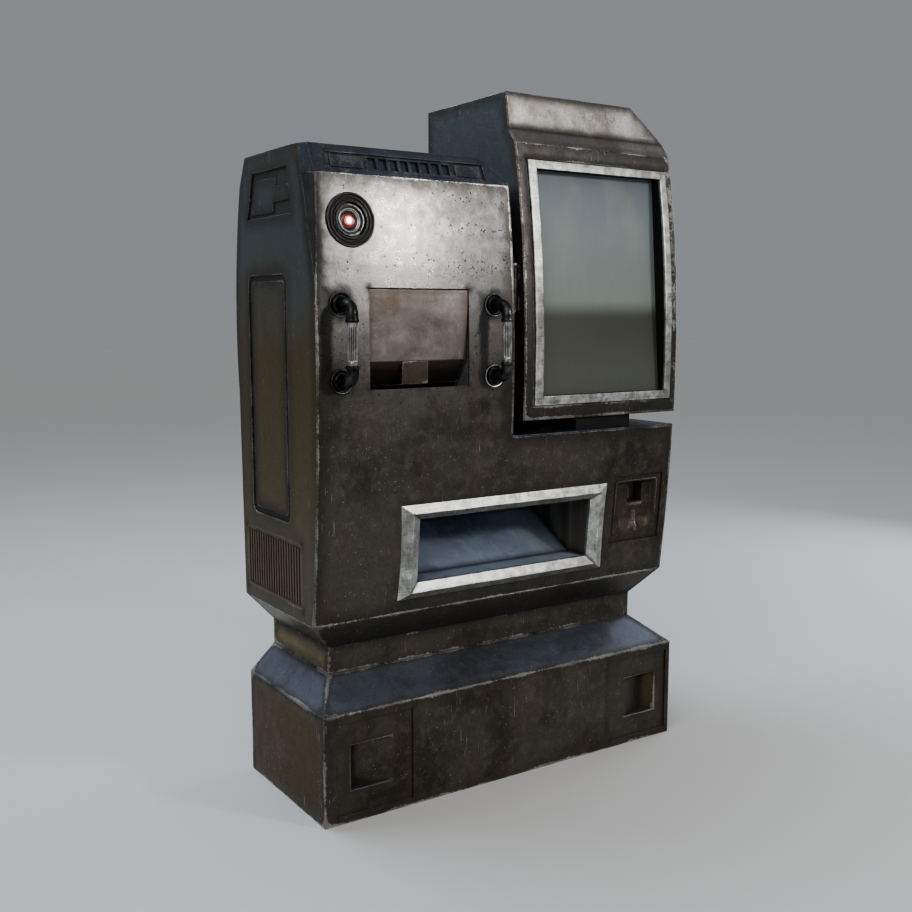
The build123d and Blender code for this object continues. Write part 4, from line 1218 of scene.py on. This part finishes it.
def elbowMesh(name, x, face, z, toward, gripEnd, reach):
    # a ring is carried out from the face, round a quarter bend and along to the grip; each ring stands
    # square to the path, with the foot's and the sleeve's radii at its ends
    look = handleLook
    bend = look["bendRadius"]
    foot, sleeve = padded(look["foot"]), padded(look["sleeve"])
    turn = np.linspace(0, math.pi / 2, look["bendSteps"])
    out = np.concatenate([foot[:, 0], reach - bend + bend * np.sin(turn), np.full(len(sleeve), reach)])
    up = np.concatenate([np.zeros(len(foot)), bend - bend * np.cos(turn), gripEnd - sleeve[:, 0]])
    lean = np.concatenate([np.zeros(len(foot)), turn, np.full(len(sleeve), math.pi / 2)])
    bulge = look["tubeRadius"] + look["bendSwell"] * np.sin(2 * turn)
    radius = np.concatenate([foot[:, 1], bulge, sleeve[:, 1]])
    ridge = np.concatenate([foot[:, 2], np.full(len(turn), far), sleeve[:, 2]])
    crease = np.concatenate([foot[:, 3], np.full(len(turn), far), sleeve[:, 3]])
    angle = np.linspace(0, 2 * math.pi, look["bendColumns"], endpoint=False)
    sideways = radius[:, None] * np.cos(angle)
    across = radius[:, None] * np.sin(angle)
    px = x + sideways * milli
    py = face - (out[:, None] - across * np.sin(lean)[:, None]) * milli
    pz = z + toward * (up[:, None] + across * np.cos(lean)[:, None]) * milli
    mesh = gridMesh(name + "Shape", np.stack([px, py, pz], axis=-1))
    setPointValues(mesh, "ridge", np.repeat(ridge, len(angle)))
    setPointValues(mesh, "crease", np.repeat(crease, len(angle)))
    settle(mesh)
    return mesh


def gripMesh(name, x, y, low, high):
    # the radius dips by a smooth comb of flutes round the ring, which fades out near both ends
    look = handleLook
    rows = np.concatenate([[0, 0, 2.5, 4.0], np.linspace(6, 12, 5), np.linspace(13, high - low - 13, 8),
                           high - low - np.linspace(12, 6, 5), high - low - np.array([4.0, 2.5, 0, 0])])
    fade = np.clip((np.minimum(rows, high - low - rows) - 5) / 5, 0, 1)
    columns = look["flutes"] * 8
    angle = np.linspace(0, 2 * math.pi, columns, endpoint=False)
    comb = (0.5 + 0.5 * np.cos(look["flutes"] * angle)) ** 0.8
    dip = fade[:, None] * comb[None, :] * look["fluteDepth"]
    radius = look["gripRadius"] - dip
    radius[0] = radius[-1] = 0
    points = np.stack([x + radius * np.cos(angle) * milli, y + radius * np.sin(angle) * milli,
                       np.broadcast_to((low + rows)[:, None] * milli, radius.shape)], axis=-1)
    mesh = gridMesh(name + "Shape", points)
    setPointValues(mesh, "ridge", np.where(dip < 0.15, 0.8, far) * np.where(fade[:, None] > 0, 1, 20))
    # the crease distance darkens the flutes with dirt and painted shade
    setPointValues(mesh, "crease", np.where(fade[:, None] > 0, 3.2 - 2 * dip, far))
    settle(mesh)
    return mesh


def joinMeshes(name, meshes):
    grid = bmesh.new()
    for mesh in meshes:
        grid.from_mesh(mesh)
    joined = bpy.data.meshes.new(name)
    grid.to_mesh(joined)
    grid.free()
    return joined


for side in ("left", "right"):
    gripNode, bracketNode = side + "_handle_grip", side + "_handle_brackets"
    (x0, y0, z0), (x1, y1, z1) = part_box(gripNode)
    x, y = (x0 + x1) / 2, (y0 + y1) / 2
    name = side + "HandleGripPiece"
    grip = bpy.data.objects.new(name, gripMesh(name, x, y, z0 / milli, z1 / milli))
    finishPiece(grip, "gripMetal", bodyOfNode[gripNode], [gripNode])
    bracketLow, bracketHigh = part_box(bracketNode)
    ends = []
    inset = handleLook["footInset"] * milli
    for toward, foot, gripEnd in ((-1, bracketHigh[2] - inset, z1), (1, bracketLow[2] + inset, z0)):
        face = float(barrelDepth(foot / milli)) * milli
        ends.append(elbowMesh(side + "Elbow", x, face, foot, toward, abs(foot - gripEnd) / milli,
                              (face - y) / milli))
    name = side + "HandleBracketsPiece"
    brackets = bpy.data.objects.new(name, joinMeshes(name + "Shape", ends))
    finishPiece(brackets, handleLook["endSkin"][side], bodyOfNode[bracketNode], [bracketNode])
print("camera and handles are made")


plainSkins = {
    "plinth_floor": "zinc", "handle_nuts": "zinc", "deposit_pocket": "zinc", "deposit_hinge_pin": "zinc",
    "deposit_bin": "zinc", "delivery_bracket": "zinc", "card_reader": "casePlastic",
    "screen_hinge_pin": "zinc", "screen_rest": "blackTrim", "door_hinges": "zinc",
    "service_shelf": "zinc", "cassette_rack": "zinc", "note_cassettes": "casePlastic",
    # the screen recess takes black trim: a black liner that also stands as painted shade in the gap round
    # the bezel
    "controller_box": "zinc", "power_supply": "zinc", "screen_recess": "blackTrim",
    "screen_glass": "glass", "display_panel": "panelBlack", "drive_roller": "rubber",
    "pinch_roller": "rubber",
}
for node, skin in plainSkins.items():
    data = nodes[node].data
    data.materials.clear()
    data.materials.append(skins[skin])
print("carried pieces have their finishes:", len(plainSkins))
